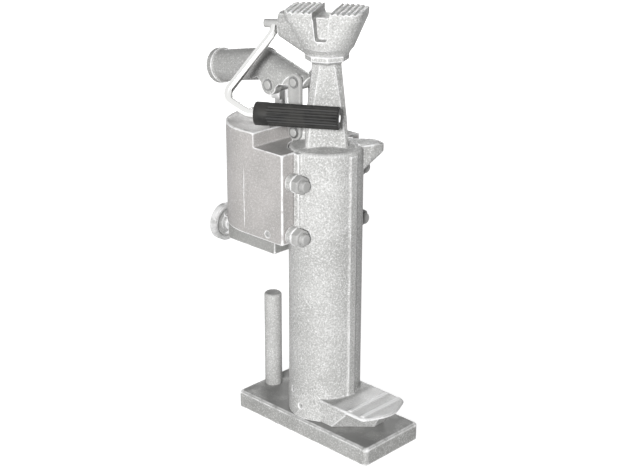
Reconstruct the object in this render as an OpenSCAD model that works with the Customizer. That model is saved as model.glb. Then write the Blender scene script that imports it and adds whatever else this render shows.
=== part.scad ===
/* [Base plate] */
// Length of the base plate
base_len = 280; // [250:1:320]
// Width of the base plate
base_wid = 121; // [112:1:150]
// Thickness of the base plate
base_thk = 28.4; // [24:0.2:36]
// Distance from the ram axis back to the rear edge of the plate
base_back = 136.5; // [134:0.5:150]
// Corner radius of the plate seen from above
base_corner_r = 7; // [4:0.5:12]
// Width of the broken top edge of the plate
base_edge = 3; // [1:0.5:4]

/* [Base post] */
// Diameter of the round post at the rear of the plate
post_d = 28; // [22:0.5:32]
// Height of the post above the plate
post_height = 161; // [100:1:200]
// Distance of the post behind the ram axis
post_back = 116.5; // [110:0.5:118]
// Broken edge on top of the post
post_edge = 2.5; // [1:0.5:4]

/* [Ram] */
// Diameter of the fixed ram
ram_d = 58; // [50:0.5:60]
// Height of the ram above the plate, below its piston
ram_height = 376; // [360:1:384]
// Diameter of the cylinder bore
bore_d = 62; // [61:0.5:66]
// Wall of the steel cylinder liner
liner_wall = 7; // [5:0.5:8]
// Height of the piston on the ram
piston_height = 28; // [22:1:30]

/* [Body casting] */
// Outer radius of the round body
body_r = 55.7; // [54:0.1:60]
// Height of the shoulder of the body above the ground
shoulder_z = 462; // [460:1:470]
// Rounding of the shoulder rim
shoulder_round = 7; // [4:0.5:9]
// Rise of the dished shoulder from its rim to the column
shoulder_rise = 5; // [4:0.5:6]
// Height of the top face of the column above the ground
column_top_z = 598.3; // [590:0.1:610]
// Radius across the corners of the collar on top of the column
collar_r = 32.6; // [28:0.1:36]

/* [Toe] */
// Reach of the lifting toe from the ram axis
toe_reach = 142; // [130:1:142]
// Half width of the lifting toe
toe_half = 47.5; // [40:0.5:50]
// Height of the toe's top face above the ground at rest
toe_top_z = 67.5; // [62:0.5:72]
// Thickness of the toe at its edge
toe_lip = 5; // [4:0.5:8]

/* [Pump housing] */
// Half width of the pump housing
box_half = 83; // [81:0.5:88]
// Distance from the ram axis back to the centre of the round rear wall
box_centre = 97; // [92:0.5:104]
// Distance from the ram axis back to the bolted front face
box_front = 9; // [8:0.5:12]
// Height of the bottom of the housing above the ground
box_bottom_z = 319; // [312:0.5:322]
// Height of the low front ledge of the housing above the ground
box_ledge_z = 459; // [456:0.5:462]
// Height of the main top of the housing above the ground
box_top_z = 481; // [478:0.5:486]
// Distance from the ram axis back to the step between ledge and top
box_step = 70; // [66:0.5:74]
// Wall of the housing
box_wall = 8; // [6:0.5:10]

/* [Housing studs] */
// Distance of the studs in from the sides of the housing
stud_inset = 18; // [17:0.1:18.4]
// Height of the lower studs above the ground
stud_low_z = 333; // [332:0.5:338]
// Height of the upper studs above the ground
stud_high_z = 415; // [405:0.5:425]
// Diameter of the studs
stud_d = 17; // [12:0.5:17.5]
// Width of the nuts across their flats
nut_af = 25; // [22:0.5:26]
// Thickness of the nuts
nut_thk = 12; // [10:0.5:14]

/* [Pump block and valves] */
// Half width of the pump block below the housing
block_half = 52; // [48:0.5:56]
// Height of the pump block
block_height = 34; // [32:0.5:38]
// Distance from the ram axis back to the front end of the block
block_front = 58; // [57:0.5:60]
// Distance from the ram axis back to the rear end of the block
block_rear = 162; // [158:0.5:164]
// Diameter of the valve balls
ball_d = 9; // [8:0.5:10]
// Diameter of the release knob
knob_d = 60; // [50:1:62]
// Thickness of the release knob
knob_thk = 14; // [10:0.5:16]
// Sideways distance of the release spindle from the ram axis
spindle_y = -32; // [-36:0.5:-28]
// Diameter of the release spindle
spindle_d = 12; // [10:0.5:14]

/* [Pump plunger and lever] */
// Distance of the pump plunger behind the ram axis
plunger_x = 95; // [94:0.5:98]
// Diameter of the pump plunger
plunger_d = 19; // [16:0.5:20]
// Height of the plunger pin above the ground at rest
plunger_pin_z = 539; // [536:0.5:542]
// Distance of the fulcrum pin behind the ram axis
fulcrum_x = 43.5; // [43:0.5:46]
// Height of the fulcrum pin above the ground
fulcrum_z = 551.3; // [548:0.1:554]
// Height of the lower pin of the side plates above the ground
link_pin_z = 475.5; // [474:0.5:478]
// Diameter of the three lever pins
pin_d = 13; // [11:0.5:14]
// Downward tilt of the lever socket at rest, in degrees
socket_tilt = 11; // [9:0.5:13]
// Outer diameter of the lever socket
socket_d = 49; // [46:0.5:52]
// Bore of the lever socket for the pump bar
socket_bore_d = 38; // [32:0.5:40]
// Depth of the lever socket
socket_depth = 105; // [80:1:115]
// Half width of the lever at its ears
ear_half = 27; // [25:0.5:29]
// Half width of the lever between the side plates
tongue_half = 17.5; // [16:0.5:18]
// Thickness of each side plate
plate_thk = 6; // [5:0.5:8]

/* [Load cap] */
// Turn of the load cap about the jack axis at rest, in degrees
cap_turn = 31; // [20:1:40]
// Height of the load cap
cap_height = 65.5; // [62:0.5:70]
// Half length of the load cap from jaw to jaw
cap_r = 57; // [54:0.5:62]
// Half depth of the load cap from front to back
cap_half = 42.5; // [40:0.5:48]
// Width of the channel between the jaws
channel_w = 25; // [20:0.5:28]
// Depth of the channel between the jaws
channel_depth = 10.5; // [8:0.5:14]
// Diameter of the spigot that the cap turns on
spigot_d = 36; // [30:0.5:38]

/* [Carrying handle] */
// Height of the handle pivot above the bottom of the cap
pivot_rise = 39.2; // [38:0.1:41]
// Diameter of the handle rod
rod_d = 12.7; // [11:0.1:14]
// Length of the rubber grip
grip_len = 124.5; // [112:0.5:128]
// Diameter of the rubber grip
grip_d = 34; // [30:0.5:35]
// Distance from the pivot down to the grip's axis
handle_drop = 132.2; // [128:0.1:136]
// Forward tilt of the hanging handle, in degrees
handle_tilt = 24; // [23.7:0.1:26]

/* [Hidden] */
$fn = 64;

// Clearances: a running fit, a close fit between fixed pieces, and a free gap
run_fit = 0.05;
close_fit = 0.03;
free_gap = 0.4;
// A cutter reaches this far past the face that it opens
past = 1;

// Base and ram
post_tenon_d = 20;
ram_tenon_d = 44;
ram_tenon_depth = 16;
lock_screw_d = 10;
lock_screw_len = 18;
lock_screw_z = base_thk - ram_tenon_depth / 2;
screw_d = 16;
screw_head_d = 24;
screw_head_h = 14;
screw_depth = 40;
ram_top_z = base_thk + ram_height;
piston_top_z = ram_top_z + piston_height;
seal_h = 8;
seal_depth = 5;
seal_z = ram_top_z + 6;

// Body casting
body_z0 = base_thk + free_gap;
liner_d = bore_d + 2 * liner_wall;
wiper_h = 8;
bush_h = 20;
wiper_z = body_z0 + 2;
bush_z = wiper_z + wiper_h;
liner_z = bush_z + bush_h;
liner_top_z = 446;
port_z = 440;
port_d = 7;
rib_w = 15;
rib_proud = 1.8;
seam_w = 7;
seam_proud = 0.7;
seam_angle = 134;
pad_half = 61;
ear_r = 14;
nut_face = 4;
collar_h = 8;
collar_under = 6;
collar_z = column_top_z - collar_h;
column_foot_half = 31.5;
column_foot_flat = 28.5;
column_neck_half = 20.8;
neck_z = collar_z - collar_under;
column_mid_z = shoulder_z + 42;
column_mid_half = 29.4;
spigot_h = 23;
groove_h = 9;
groove_depth = 3;
groove_z = column_top_z + 6;
horn_angle = 55;
horn_reach = 76;
horn_tip_r = 11;
horn_root_half = 22;
side_screw_d = 8;
liner_screw = [-109, 71];
bush_screw = [-88, 48.8];
foot_side_x = 33;
foot_proud = 1.6;
foot_ring_z = toe_top_z - 2;
stud_y = box_half - stud_inset;
foot_side_half = 45;

// Pump housing
gasket_thk = 0.8;
pad_face = -box_front + gasket_thk / 2;
flange_face = -box_front - gasket_thk / 2;
stud_end = 23.6;
stud_in = 36;
stud_boss_r = 15;
saddle_r = body_r + 0.5;
filler_x = -132;
filler_y = 42;
filler_d = 16;
level_x = -41;
level_z = 330;
level_d = 9;

// Pump block, pump and valves
block_top_z = box_bottom_z - gasket_thk;
block_z0 = block_top_z - block_height;
turret_d = 36;
turret_z = block_top_z - 8;
chamber_z = block_top_z + 4;
bottom_play = 1;
plunger_low_z = chamber_z + bottom_play;
gland_d = 26;
gland_top_z = box_top_z + 11;
gland_low_z = box_top_z - 16;
packing_h = 8;
gland_af = 34;
valve_y = 26;
valve_bore_d = 14;
valve_top_z = block_z0 + 19;
seat_d = 6;
ball_z = valve_top_z - sqrt(pow(ball_d / 2, 2) - pow(seat_d / 2, 2)) - 0.02;
plug_h = 5;
spring_r = 3.6;
spring_wire_r = 0.6;
spring_turns = 4;
spring_ring = 8;
pipe_x = -74;
pipe_y = 26;
pipe_d = 8;
pipe_bend_r = 12;
block_screw_d = 10;
block_screw_x = 12;
screw_seat_z = past - gasket_thk - block_height + 10;
block_screw_y = 12;
rear_screw_y = 10;
spindle_z = block_z0 + 16;
spindle_tip = -124;
knob_front = -183;
knob_rear = knob_front - knob_thk;
hub_d = 24;
hub_len = 8;
knob_pin_d = 4;
spindle_gland_d = 20;

// Lever
lug_r = 12.5;
plate_w = 2 * lug_r;
plate_in = tongue_half + 0.5;
plate_out = plate_in + plate_thk;
pin_out = plate_out + 3.5;
ear_pin_out = ear_half + 3;
clip_d = 18;
clip_thk = 1.4;
clip_groove = 0.8;
head_half = 12;
slot_play_x = 2.3;
slot_play_z = 0.5;
slot_x = -plunger_x + 0.4;
ear_lobe_r = 15.5;
socket_x = -60;
socket_z = 575;
socket_len = 176;
rim_d = 55;
crest_z = 575.8;
crest_slope = 16.7;
crest_r = 27.2;
rim_len = 11;

// Load cap and handle
cap_z0 = column_top_z + 0.1;
cap_foot_r = 32.5;
cap_waist_r = 39.5;
cap_waist_z = 11;
rim_corner_r = 20;
notch_top_w = channel_w;
notch_low_w = 17;
notch_low_r = 3.5;
notch_depth = 20;
notch_low_z = 24;
boss_face = -69.8;
boss_r = 18;
pivot_end = -93.5;
pivot_in = -22;
pivot_groove_x = -48;
lock_pin_d = 5;
grip_right = 31.6;
tooth_h = 2.6;
tooth_pitch = 8;
tooth_flat = 0.6;
groove_count = 5;
// Bends of the handle rod: lean of each straight part from the vertical and bend radii
neck_len = 10.6;
neck_lean = 9;
neck_bend_r = 20;
leg_lean = 33.7;
knee_r = 16;
sole_lean = -62;
sole_len = 19.7;
heel_r = 26;
rod_join = -76.6;
rod_sides = 32;
bend_steps = 8;

// A bar of length len along X with the given section of points in Y and Z
module bar_x(len, pts) {
  translate([-len / 2, 0, 0]) rotate([90, 0, 90]) linear_extrude(height = len) polygon(pts);
}

// A section w wide and h high whose top edges are broken by e
function broken_section(w, h, e) =
  [[-w / 2, 0], [w / 2, 0], [w / 2, h - e], [w / 2 - e, h], [-w / 2 + e, h], [-w / 2, h - e]];

// A plate with round corners of radius r and a broken top edge e
module broken_plate(len, wid, thk, r, e) {
  bar_x(len - 2 * r, broken_section(wid, thk, e));
  rotate([0, 0, 90]) bar_x(wid - 2 * r, broken_section(len, thk, e));
  for (sx = [-1, 1], sy = [-1, 1]) {
    translate([sx * (len / 2 - r), sy * (wid / 2 - r), 0]) {
      cylinder(r = r, h = thk - e);
      translate([0, 0, thk - e]) cylinder(r1 = r, r2 = r - e, h = e);
    }
  }
}

// A cylinder along X from x0 to x1
module rod_x(x0, x1, d) {
  translate([x0, 0, 0]) rotate([0, 90, 0]) cylinder(d = d, h = x1 - x0);
}

// A cylinder along Y from y0 to y1
module rod_y(y0, y1, d) {
  translate([0, y0, 0]) rotate([-90, 0, 0]) cylinder(d = d, h = y1 - y0);
}

// A hexagonal bar along X from x0 to x1
module hex_x(x0, x1, af) {
  translate([x0, 0, 0]) rotate([0, 90, 0]) cylinder(d = af / cos(30), h = x1 - x0, $fn = 6);
}

// The places of the four housing studs in Y and Z
module at_studs() {
  for (sy = [-1, 1], z = [stud_low_z, stud_high_z]) translate([0, sy * stud_y, z]) children();
}

// The frame of the load cap: its own X runs through the handle pivot
module cap_frame() {
  translate([0, 0, cap_z0]) rotate([0, 0, cap_turn]) children();
}

// The frame of the hanging handle: X along the pivot, Z up along the handle
module handle_frame() {
  cap_frame() translate([0, 0, pivot_rise]) rotate([-handle_tilt, 0, 0]) children();
}

// The frame of the lever socket: its own X runs out of the socket's mouth
module socket_frame() {
  translate([socket_x, 0, socket_z]) rotate([0, socket_tilt, 180]) children();
}

module base_plate() {
  color("lightgray") difference() {
    translate([base_len / 2 - base_back, 0, 0])
      broken_plate(base_len, base_wid, base_thk, base_corner_r, base_edge);
    translate([0, 0, base_thk - ram_tenon_depth - free_gap])
      cylinder(d = ram_tenon_d + 2 * close_fit, h = base_thk);
    translate([-post_back, 0, 2]) cylinder(d = post_tenon_d + 2 * close_fit, h = base_thk);
    translate([0, 0, lock_screw_z]) rod_y(0, base_wid / 2 + past, lock_screw_d + 2 * close_fit);
  }
}

module base_post() {
  color("silver") translate([-post_back, 0, 0]) {
    translate([0, 0, 2.2]) cylinder(d = post_tenon_d, h = base_thk);
    translate([0, 0, base_thk]) cylinder(d = post_d, h = post_height - post_edge);
    translate([0, 0, base_thk + post_height - post_edge])
      cylinder(d1 = post_d, d2 = post_d - 2 * post_edge, h = post_edge);
  }
}

module ram() {
  color("gray") difference() {
    union() {
      translate([0, 0, base_thk - ram_tenon_depth]) cylinder(d = ram_tenon_d, h = ram_tenon_depth + past);
      translate([0, 0, base_thk]) cylinder(d = ram_d, h = ram_height);
    }
    translate([0, 0, ram_top_z - screw_depth - 2]) cylinder(d = screw_d + 2 * close_fit, h = screw_depth + 3);
  }
}

module ram_lock_screw() {
  color("dimgray") translate([0, 0, lock_screw_z])
    rod_y(ram_tenon_d / 2 + close_fit, ram_tenon_d / 2 + lock_screw_len, lock_screw_d);
}

module piston() {
  color("gray") difference() {
    translate([0, 0, ram_top_z]) cylinder(d = bore_d - 2 * run_fit, h = piston_height);
    translate([0, 0, seal_z]) difference() {
      cylinder(d = bore_d + 2, h = seal_h);
      translate([0, 0, -past]) cylinder(d = bore_d - 2 * seal_depth, h = seal_h + 2 * past);
    }
    translate([0, 0, ram_top_z - past]) cylinder(d = screw_d + 2 * close_fit, h = piston_height + 2);
    translate([0, 0, piston_top_z - screw_head_h - 1]) cylinder(d = screw_head_d + 1, h = piston_height);
  }
}

module piston_seal() {
  color("black") translate([0, 0, seal_z + 0.1]) difference() {
    cylinder(d = bore_d - 2 * run_fit, h = seal_h - 0.2);
    translate([0, 0, -past]) cylinder(d = bore_d - 2 * seal_depth + 0.1, h = seal_h + 2 * past);
  }
}

module piston_screw() {
  color("dimgray") translate([0, 0, piston_top_z - screw_head_h - 1]) difference() {
    union() {
      cylinder(d = screw_head_d, h = screw_head_h);
      translate([0, 0, -screw_depth]) cylinder(d = screw_d, h = screw_depth + past);
    }
    translate([0, 0, screw_head_h / 2]) cylinder(d = 14 / cos(30), h = screw_head_h, $fn = 6);
  }
}

// Outline of a column section: a square turned by 45 degrees with cut corners
module column_section(half, flat, z) {
  translate([0, 0, z]) rotate([0, 0, 45]) linear_extrude(height = 0.2)
    polygon([for (k = [0:3], s = [-1, 1]) [
      half * cos(90 * k) - s * flat * sin(90 * k), half * sin(90 * k) + s * flat * cos(90 * k)]]);
}

// Tapered column from the dished shoulder up to the collar
module column() {
  hull() {
    column_section(column_foot_half, column_foot_flat, shoulder_z - 3);
    column_section(column_mid_half, column_mid_half - 6, column_mid_z);
  }
  hull() {
    column_section(column_mid_half, column_mid_half - 6, column_mid_z);
    column_section(column_neck_half, column_neck_half * 0.5, neck_z + 1);
  }
  translate([0, 0, neck_z])
    cylinder(r1 = column_neck_half + 1.5, r2 = collar_r, h = collar_under, $fn = 8);
  translate([0, 0, collar_z]) cylinder(r = collar_r, h = collar_h, $fn = 8);
  translate([0, 0, column_top_z - past]) cylinder(d = spigot_d, h = spigot_h + past);
}

// Round body with its rounded shoulder rim and dished shoulder
module body_round() {
  rim_z = shoulder_z - shoulder_round;
  rim_r = body_r - shoulder_round;
  rotate_extrude() polygon(concat(
    [[0, body_z0], [body_r + foot_proud, body_z0], [body_r + foot_proud, foot_ring_z],
      [body_r, foot_ring_z + 3 * foot_proud]],
    [for (a = [0:15:90]) [rim_r + shoulder_round * cos(a), rim_z + shoulder_round * sin(a)]],
    [[column_foot_half, shoulder_z + shoulder_rise], [0, shoulder_z + shoulder_rise]]));
}

// Foot and lifting toe, with the sloping web below the toe
module toe() {
  slab_z = toe_top_z - toe_lip;
  tip_r = 12;
  tip_x = toe_reach - tip_r - 12;
  // Web and foot below the toe
  hull() {
    translate([0, 0, body_z0]) linear_extrude(height = 0.5) polygon([[foot_side_x, -foot_side_half],
      [foot_side_x + 24, -foot_side_half], [toe_reach - 37, 1], [toe_reach - 37, 24],
      [foot_side_x + 39, foot_side_half], [foot_side_x, foot_side_half]]);
    translate([foot_side_x, -foot_side_half, body_z0 + 22]) cube([34, 2 * foot_side_half, 1]);
    translate([0, 0, slab_z]) linear_extrude(height = 1) polygon([[foot_side_x, -toe_half + 1],
      [toe_reach - 52, -toe_half + 1], [toe_reach - 18, -4], [toe_reach - 18, 18],
      [toe_reach - 52, toe_half - 1], [foot_side_x, toe_half - 1]]);
  }
  // Slab of the toe, with a round front lip
  hull() {
    translate([foot_side_x, -toe_half, slab_z]) cube([50, 2 * toe_half, toe_lip - 1.5]);
    translate([foot_side_x, -toe_half + 1.5, slab_z]) cube([50, 2 * toe_half - 3, toe_lip]);
    for (s = [-1, 1]) translate([tip_x, s * (toe_half - tip_r), slab_z]) {
      cylinder(r = tip_r, h = toe_lip - 2, $fn = 32);
      cylinder(r = tip_r - 2.5, h = toe_lip, $fn = 32);
    }
    translate([toe_reach - 46, 0, slab_z]) {
      cylinder(r = 46, h = toe_lip - 2.5, $fn = 64);
      cylinder(r = 43, h = toe_lip, $fn = 64);
    }
  }
  // Gripping ridges across the toe
  for (x = [toe_reach - 48, toe_reach - 23]) translate([x, 0, toe_top_z - past]) rotate([90, 0, 0])
    linear_extrude(height = 2 * toe_half - 9, center = true)
      polygon([[-6, 0], [6, 0], [4.5, past], [1.5, past + 2.4], [-2.5, past + 2.4], [-6, past]]);
}

// Lug on the rear of the shoulder that carries the side plates
module plate_lug() {
  translate([-fulcrum_x, 0, link_pin_z]) rod_y(-tongue_half, tongue_half, 2 * lug_r);
  translate([-fulcrum_x - lug_r, -tongue_half, box_ledge_z + free_gap])
    cube([2 * lug_r, 2 * tongue_half, link_pin_z - box_ledge_z - free_gap]);
}

// Horn on the far side of the shoulder
module horn() {
  rotate([0, 0, horn_angle]) hull() {
    translate([horn_reach, 0, shoulder_z - 15]) cylinder(r = horn_tip_r, h = 12, $fn = 32);
    translate([horn_reach - 14, 0, shoulder_z - 18]) cylinder(r = horn_tip_r + 7, h = 18, $fn = 32);
    translate([40, -horn_root_half, shoulder_z - 44]) cube([4, 2 * horn_root_half, 44]);
  }
}

// Bolting pad and stud ears on the pump side of the body
module pump_pad() {
  translate([pad_face, -pad_half, box_bottom_z])
    cube([box_front + 2, 2 * pad_half, box_ledge_z - box_bottom_z]);
  at_studs() rod_x(pad_face, nut_face, 2 * ear_r);
  for (s = [-1, 1], z = [stud_low_z, stud_high_z])
    translate([pad_face, s * (stud_y - 10) - 9.5, z - ear_r]) cube([nut_face - pad_face, 19, 2 * ear_r]);
}

// Shallow upright rib at the given angle round the body
module body_rib(angle, w, proud, z0, z1) {
  rotate([0, 0, angle]) translate([body_r - 6, -w / 2, z0]) cube([6 + proud, w, z1 - z0]);
}

module body_casting() {
  color("silver") difference() {
    union() {
      body_round();
      column();
      toe();
      horn();
      pump_pad();
      plate_lug();
      body_rib(0, rib_w, rib_proud, toe_top_z - 2, shoulder_z - shoulder_round);
      for (s = [-1, 1]) body_rib(s * seam_angle, seam_w, seam_proud, foot_ring_z + 9.5, box_bottom_z - 9);
    }
    translate([0, 0, body_z0 - past]) cylinder(d = liner_d + 2 * close_fit, h = liner_top_z - body_z0 + 2);
    translate([0, pipe_y, port_z]) rod_x(-liner_d, 0, port_d);
    translate([-fulcrum_x, 0, link_pin_z]) rod_y(-tongue_half - past, tongue_half + past, pin_d + 2 * close_fit);
    at_studs() rod_x(-box_front - past, nut_face + past, stud_d + 0.6);
    // Spot faces for the nuts
    at_studs() rod_x(nut_face, nut_face + nut_thk + past, nut_af / cos(30) + 1);
    at_side_screws() rod_x(liner_d / 2 - past, body_r + 2, side_screw_d + 2 * close_fit);
    translate([0, 0, groove_z]) difference() {
      cylinder(d = spigot_d + 4, h = groove_h);
      translate([0, 0, -past]) cylinder(d = spigot_d - 2 * groove_depth, h = groove_h + 2 * past);
    }
  }
}

// The places of the two side screws low on the body
module at_side_screws() {
  for (s = [liner_screw, bush_screw]) rotate([0, 0, s[0]]) translate([0, 0, s[1]]) children();
}

module cylinder_liner() {
  color("gray") translate([0, 0, liner_z]) difference() {
    cylinder(d = liner_d, h = liner_top_z - liner_z);
    translate([0, 0, -past]) cylinder(d = bore_d, h = liner_top_z);
    translate([0, pipe_y, port_z - liner_z]) rod_x(-liner_d, 0, port_d);
  }
}

module guide_bush() {
  color("goldenrod") translate([0, 0, bush_z]) difference() {
    cylinder(d = liner_d, h = bush_h);
    translate([0, 0, -past]) cylinder(d = ram_d + 2 * run_fit, h = bush_h + 2 * past);
  }
}

module wiper_ring() {
  color("black") translate([0, 0, wiper_z]) difference() {
    cylinder(d = liner_d, h = wiper_h);
    translate([0, 0, -past]) cylinder(d = ram_d + 2 * run_fit, h = wiper_h + 2 * past);
  }
}

module lock_screws() {
  color("dimgray") at_side_screws() difference() {
    rod_x(liner_d / 2 + 0.2, body_r - 0.6, side_screw_d);
    hex_x(body_r - 5, body_r + past, 4);
  }
}

// Plan of the housing, drawn inset by the given wall, up to the given front
module box_plan(inset, front) {
  half = box_half - inset;
  intersection() {
    translate([-box_centre, 0]) circle(r = half);
    translate([-box_centre - half, -half]) square([half + past, 2 * half]);
  }
  translate([-box_centre, -half]) square([box_centre - front, 2 * half]);
}

// Outer shape of the housing, or its hollow when drawn inset
module box_block(inset) {
  front = inset == 0 ? -flange_face : inset + 2 - flange_face;
  translate([0, 0, box_bottom_z + inset])
    linear_extrude(height = box_ledge_z - box_bottom_z - 2 * inset) box_plan(inset, front);
  translate([0, 0, box_ledge_z - inset - past])
    linear_extrude(height = box_top_z - box_ledge_z + past) box_plan(inset, box_step + inset);
}

module pump_housing() {
  color("silver") difference() {
    union() {
      difference() {
        box_block(0);
        difference() {
          box_block(box_wall);
          cylinder(r = saddle_r + box_wall, h = box_top_z);
        }
      }
      at_studs() rod_x(flange_face - stud_in - 6, flange_face - 2, 2 * stud_boss_r);
      // Inner bosses of the two plugs
      translate([filler_x, filler_y, box_top_z - box_wall - 6]) cylinder(d = filler_d + 10, h = 10);
      translate([level_x, -box_half + 2, level_z]) rod_y(0, box_wall + 4, level_d + 8);
    }
    // Saddle round the body
    cylinder(r = saddle_r, h = box_top_z);
    at_studs() rod_x(flange_face - stud_in, flange_face + past, stud_d + 2 * close_fit);
    translate([-plunger_x, 0, box_top_z - 2 * box_wall]) cylinder(d = gland_d + 2 * close_fit, h = 4 * box_wall);
    translate([-plunger_x, 0, box_bottom_z - past])
      cylinder(d = turret_d + 2 * close_fit, h = box_top_z - box_wall - box_bottom_z + past);
    translate([filler_x, filler_y, box_top_z - 3 * box_wall])
      cylinder(d = filler_d + 2 * close_fit, h = 4 * box_wall);
    translate([level_x, -box_half - past, level_z]) rod_y(0, box_wall + 8, level_d + 2 * close_fit);
    translate([0, pipe_y, port_z]) rod_x(pipe_x, past, pipe_d + 2 * close_fit);
    translate([pipe_x, pipe_y, box_bottom_z - past]) cylinder(d = pipe_d + 2 * close_fit, h = 2 * box_wall);
    at_block_screws() cylinder(d = block_screw_d + 2 * close_fit, h = box_wall - 1);
    translate([-plunger_x, -valve_y, box_bottom_z - past]) cylinder(d = seat_d, h = 2 * box_wall);
  }
}

module housing_gasket() {
  color("tan") difference() {
    translate([flange_face, -pad_half + 1, box_bottom_z + 2])
      cube([gasket_thk, 2 * pad_half - 2, box_ledge_z - box_bottom_z - 4]);
    cylinder(r = saddle_r + 0.5, h = box_top_z);
    at_studs() rod_x(flange_face - past, 0, stud_d + 1);
  }
}

module housing_studs() {
  color("silver") at_studs() {
    rod_x(flange_face - stud_in + 1, stud_end - 1.5, stud_d);
    translate([stud_end - 1.5, 0, 0]) rotate([0, 90, 0]) cylinder(d1 = stud_d, d2 = stud_d - 3, h = 1.5);
  }
}

// One hexagonal nut along X with both rims turned down to a cone
module hex_nut(x0, thk, af, hole_d) {
  crown = af / cos(30);
  difference() {
    intersection() {
      hex_x(x0, x0 + thk, af);
      translate([x0, 0, 0]) rotate([0, 90, 0]) rotate_extrude()
        polygon([[0, 0], [crown / 2, 0], [crown / 2, thk - 2.4], [af / 2 - 0.6, thk], [0, thk]]);
    }
    rod_x(x0 - past, x0 + thk + past, hole_d);
  }
}

module housing_nuts() {
  color("silver") at_studs() hex_nut(nut_face, nut_thk, nut_af, stud_d + 2 * close_fit);
}

module filler_plug() {
  color("silver") translate([filler_x, filler_y, box_top_z]) {
    translate([0, 0, -12]) cylinder(d = filler_d, h = 12 + past);
    cylinder(d = 24 / cos(30), h = 8, $fn = 6);
  }
}

module level_plug() {
  color("silver") translate([level_x, -box_half, level_z]) difference() {
    rod_y(-0.6, box_wall, level_d);
    translate([-0.8, -2, -level_d]) cube([1.6, 3.2, 2 * level_d]);
  }
}

// The places of the four screws that hold the pump block
module at_block_screws() {
  for (s = [-1, 1]) {
    translate([-block_front - block_screw_x, s * (block_half - block_screw_y), box_bottom_z - past]) children();
    translate([-block_rear + block_screw_x, s * rear_screw_y, box_bottom_z - past]) children();
  }
}

module pump_block() {
  color("silver") difference() {
    translate([-block_rear, -block_half, block_z0]) cube([block_rear - block_front, 2 * block_half, block_height]);
    translate([-plunger_x, 0, turret_z]) cylinder(d = turret_d + 2 * close_fit, h = block_height);
    // Pressure passage below the plunger, joined to both valves
    translate([-plunger_x, 0, valve_top_z - 8]) cylinder(d = seat_d, h = turret_z - valve_top_z + 10);
    translate([-plunger_x, 0, valve_top_z - 5]) rod_y(-valve_y, 0, 4);
    translate([-plunger_x, 0, valve_top_z + 3]) rod_y(0, valve_y, 4);
    for (s = [-1, 1]) translate([-plunger_x, s * valve_y, block_z0 - past])
      cylinder(d = valve_bore_d, h = valve_top_z - block_z0 + past);
    translate([-plunger_x, -valve_y, valve_top_z - past]) cylinder(d = seat_d, h = block_height);
    translate([-plunger_x, valve_y, valve_top_z - past]) cylinder(d = seat_d, h = 8);
    // Delivery passage to the pipe
    translate([0, pipe_y, valve_top_z - 5]) rod_x(-plunger_x, pipe_x, 4);
    translate([pipe_x, pipe_y, valve_top_z - 9]) cylinder(d = 4, h = block_height);
    translate([pipe_x, pipe_y, block_top_z - 8]) cylinder(d = pipe_d + 2 * close_fit, h = 10);
    at_block_screws() translate([0, 0, -block_height - 2]) cylinder(d = block_screw_d + 0.6, h = block_height + 4);
    at_block_screws() translate([0, 0, screw_seat_z - 12]) cylinder(d = block_screw_d + 8, h = 12);
    translate([0, spindle_y, spindle_z]) {
      rod_x(-block_rear - past, -block_rear + 12, spindle_gland_d + 2 * close_fit);
      rod_x(-block_rear - past, spindle_tip + 2, spindle_d + 2 * run_fit);
      rod_x(spindle_tip, spindle_tip + 20, 4);
    }
  }
}

module block_gasket() {
  color("tan") difference() {
    translate([-block_rear + 2, -block_half + 2, block_top_z])
      cube([block_rear - block_front - 4, 2 * block_half - 4, gasket_thk]);
    translate([-plunger_x, 0, block_top_z - past]) cylinder(d = turret_d + 1, h = 3);
    translate([-plunger_x, -valve_y, block_top_z - past]) cylinder(d = seat_d + 1, h = 3);
    translate([pipe_x, pipe_y, block_top_z - past]) cylinder(d = pipe_d + 1, h = 3);
    at_block_screws() translate([0, 0, -2]) cylinder(d = block_screw_d + 0.6, h = 6);
  }
}

module block_screws() {
  color("dimgray") at_block_screws() translate([0, 0, screw_seat_z - 8]) {
    cylinder(d = block_screw_d + 6, h = 8);
    cylinder(d = block_screw_d, h = block_height + 4);
  }
}

module pump_cylinder() {
  color("gray") translate([-plunger_x, 0, 0]) difference() {
    translate([0, 0, turret_z]) cylinder(d = turret_d, h = box_top_z - box_wall - turret_z);
    translate([0, 0, chamber_z]) cylinder(d = plunger_d + 2 * run_fit, h = box_top_z);
    translate([0, 0, turret_z - past]) cylinder(d = seat_d, h = chamber_z);
    translate([0, 0, gland_low_z - packing_h]) cylinder(d = gland_d + 2 * close_fit, h = box_top_z);
  }
}

// Oil pipe from the pump block up to the port in the saddle wall
module delivery_pipe() {
  wall_x = -sqrt(pow(saddle_r + 2, 2) - pow(pipe_y + pipe_d / 2, 2)) - 2;
  color("goldenrod") translate([pipe_x, pipe_y, 0]) {
    translate([pipe_bend_r, 0, port_z]) rod_x(0, wall_x - pipe_x - pipe_bend_r, pipe_d);
    translate([0, 0, block_top_z - 7]) cylinder(d = pipe_d, h = port_z - pipe_bend_r - block_top_z + 7);
    translate([pipe_bend_r, 0, port_z - pipe_bend_r]) rotate([90, 0, 180])
      rotate_extrude(angle = 90) translate([pipe_bend_r, 0]) rotate([0, 0, 90]) circle(d = pipe_d);
  }
}

module valve_balls() {
  color("silver") for (s = [-1, 1])
    translate([-plunger_x, s * valve_y, ball_z]) sphere(d = ball_d);
}

// Points of a coil ring: turns climb from z0 by the given pitch
function coil_ring(a, r, wire, pitch, z0) = [for (k = [0:5]) let (b = 60 * k) [
  (r + wire * cos(b)) * cos(a), (r + wire * cos(b)) * sin(a), z0 + pitch * a / 360 + wire * sin(b)]];

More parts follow.
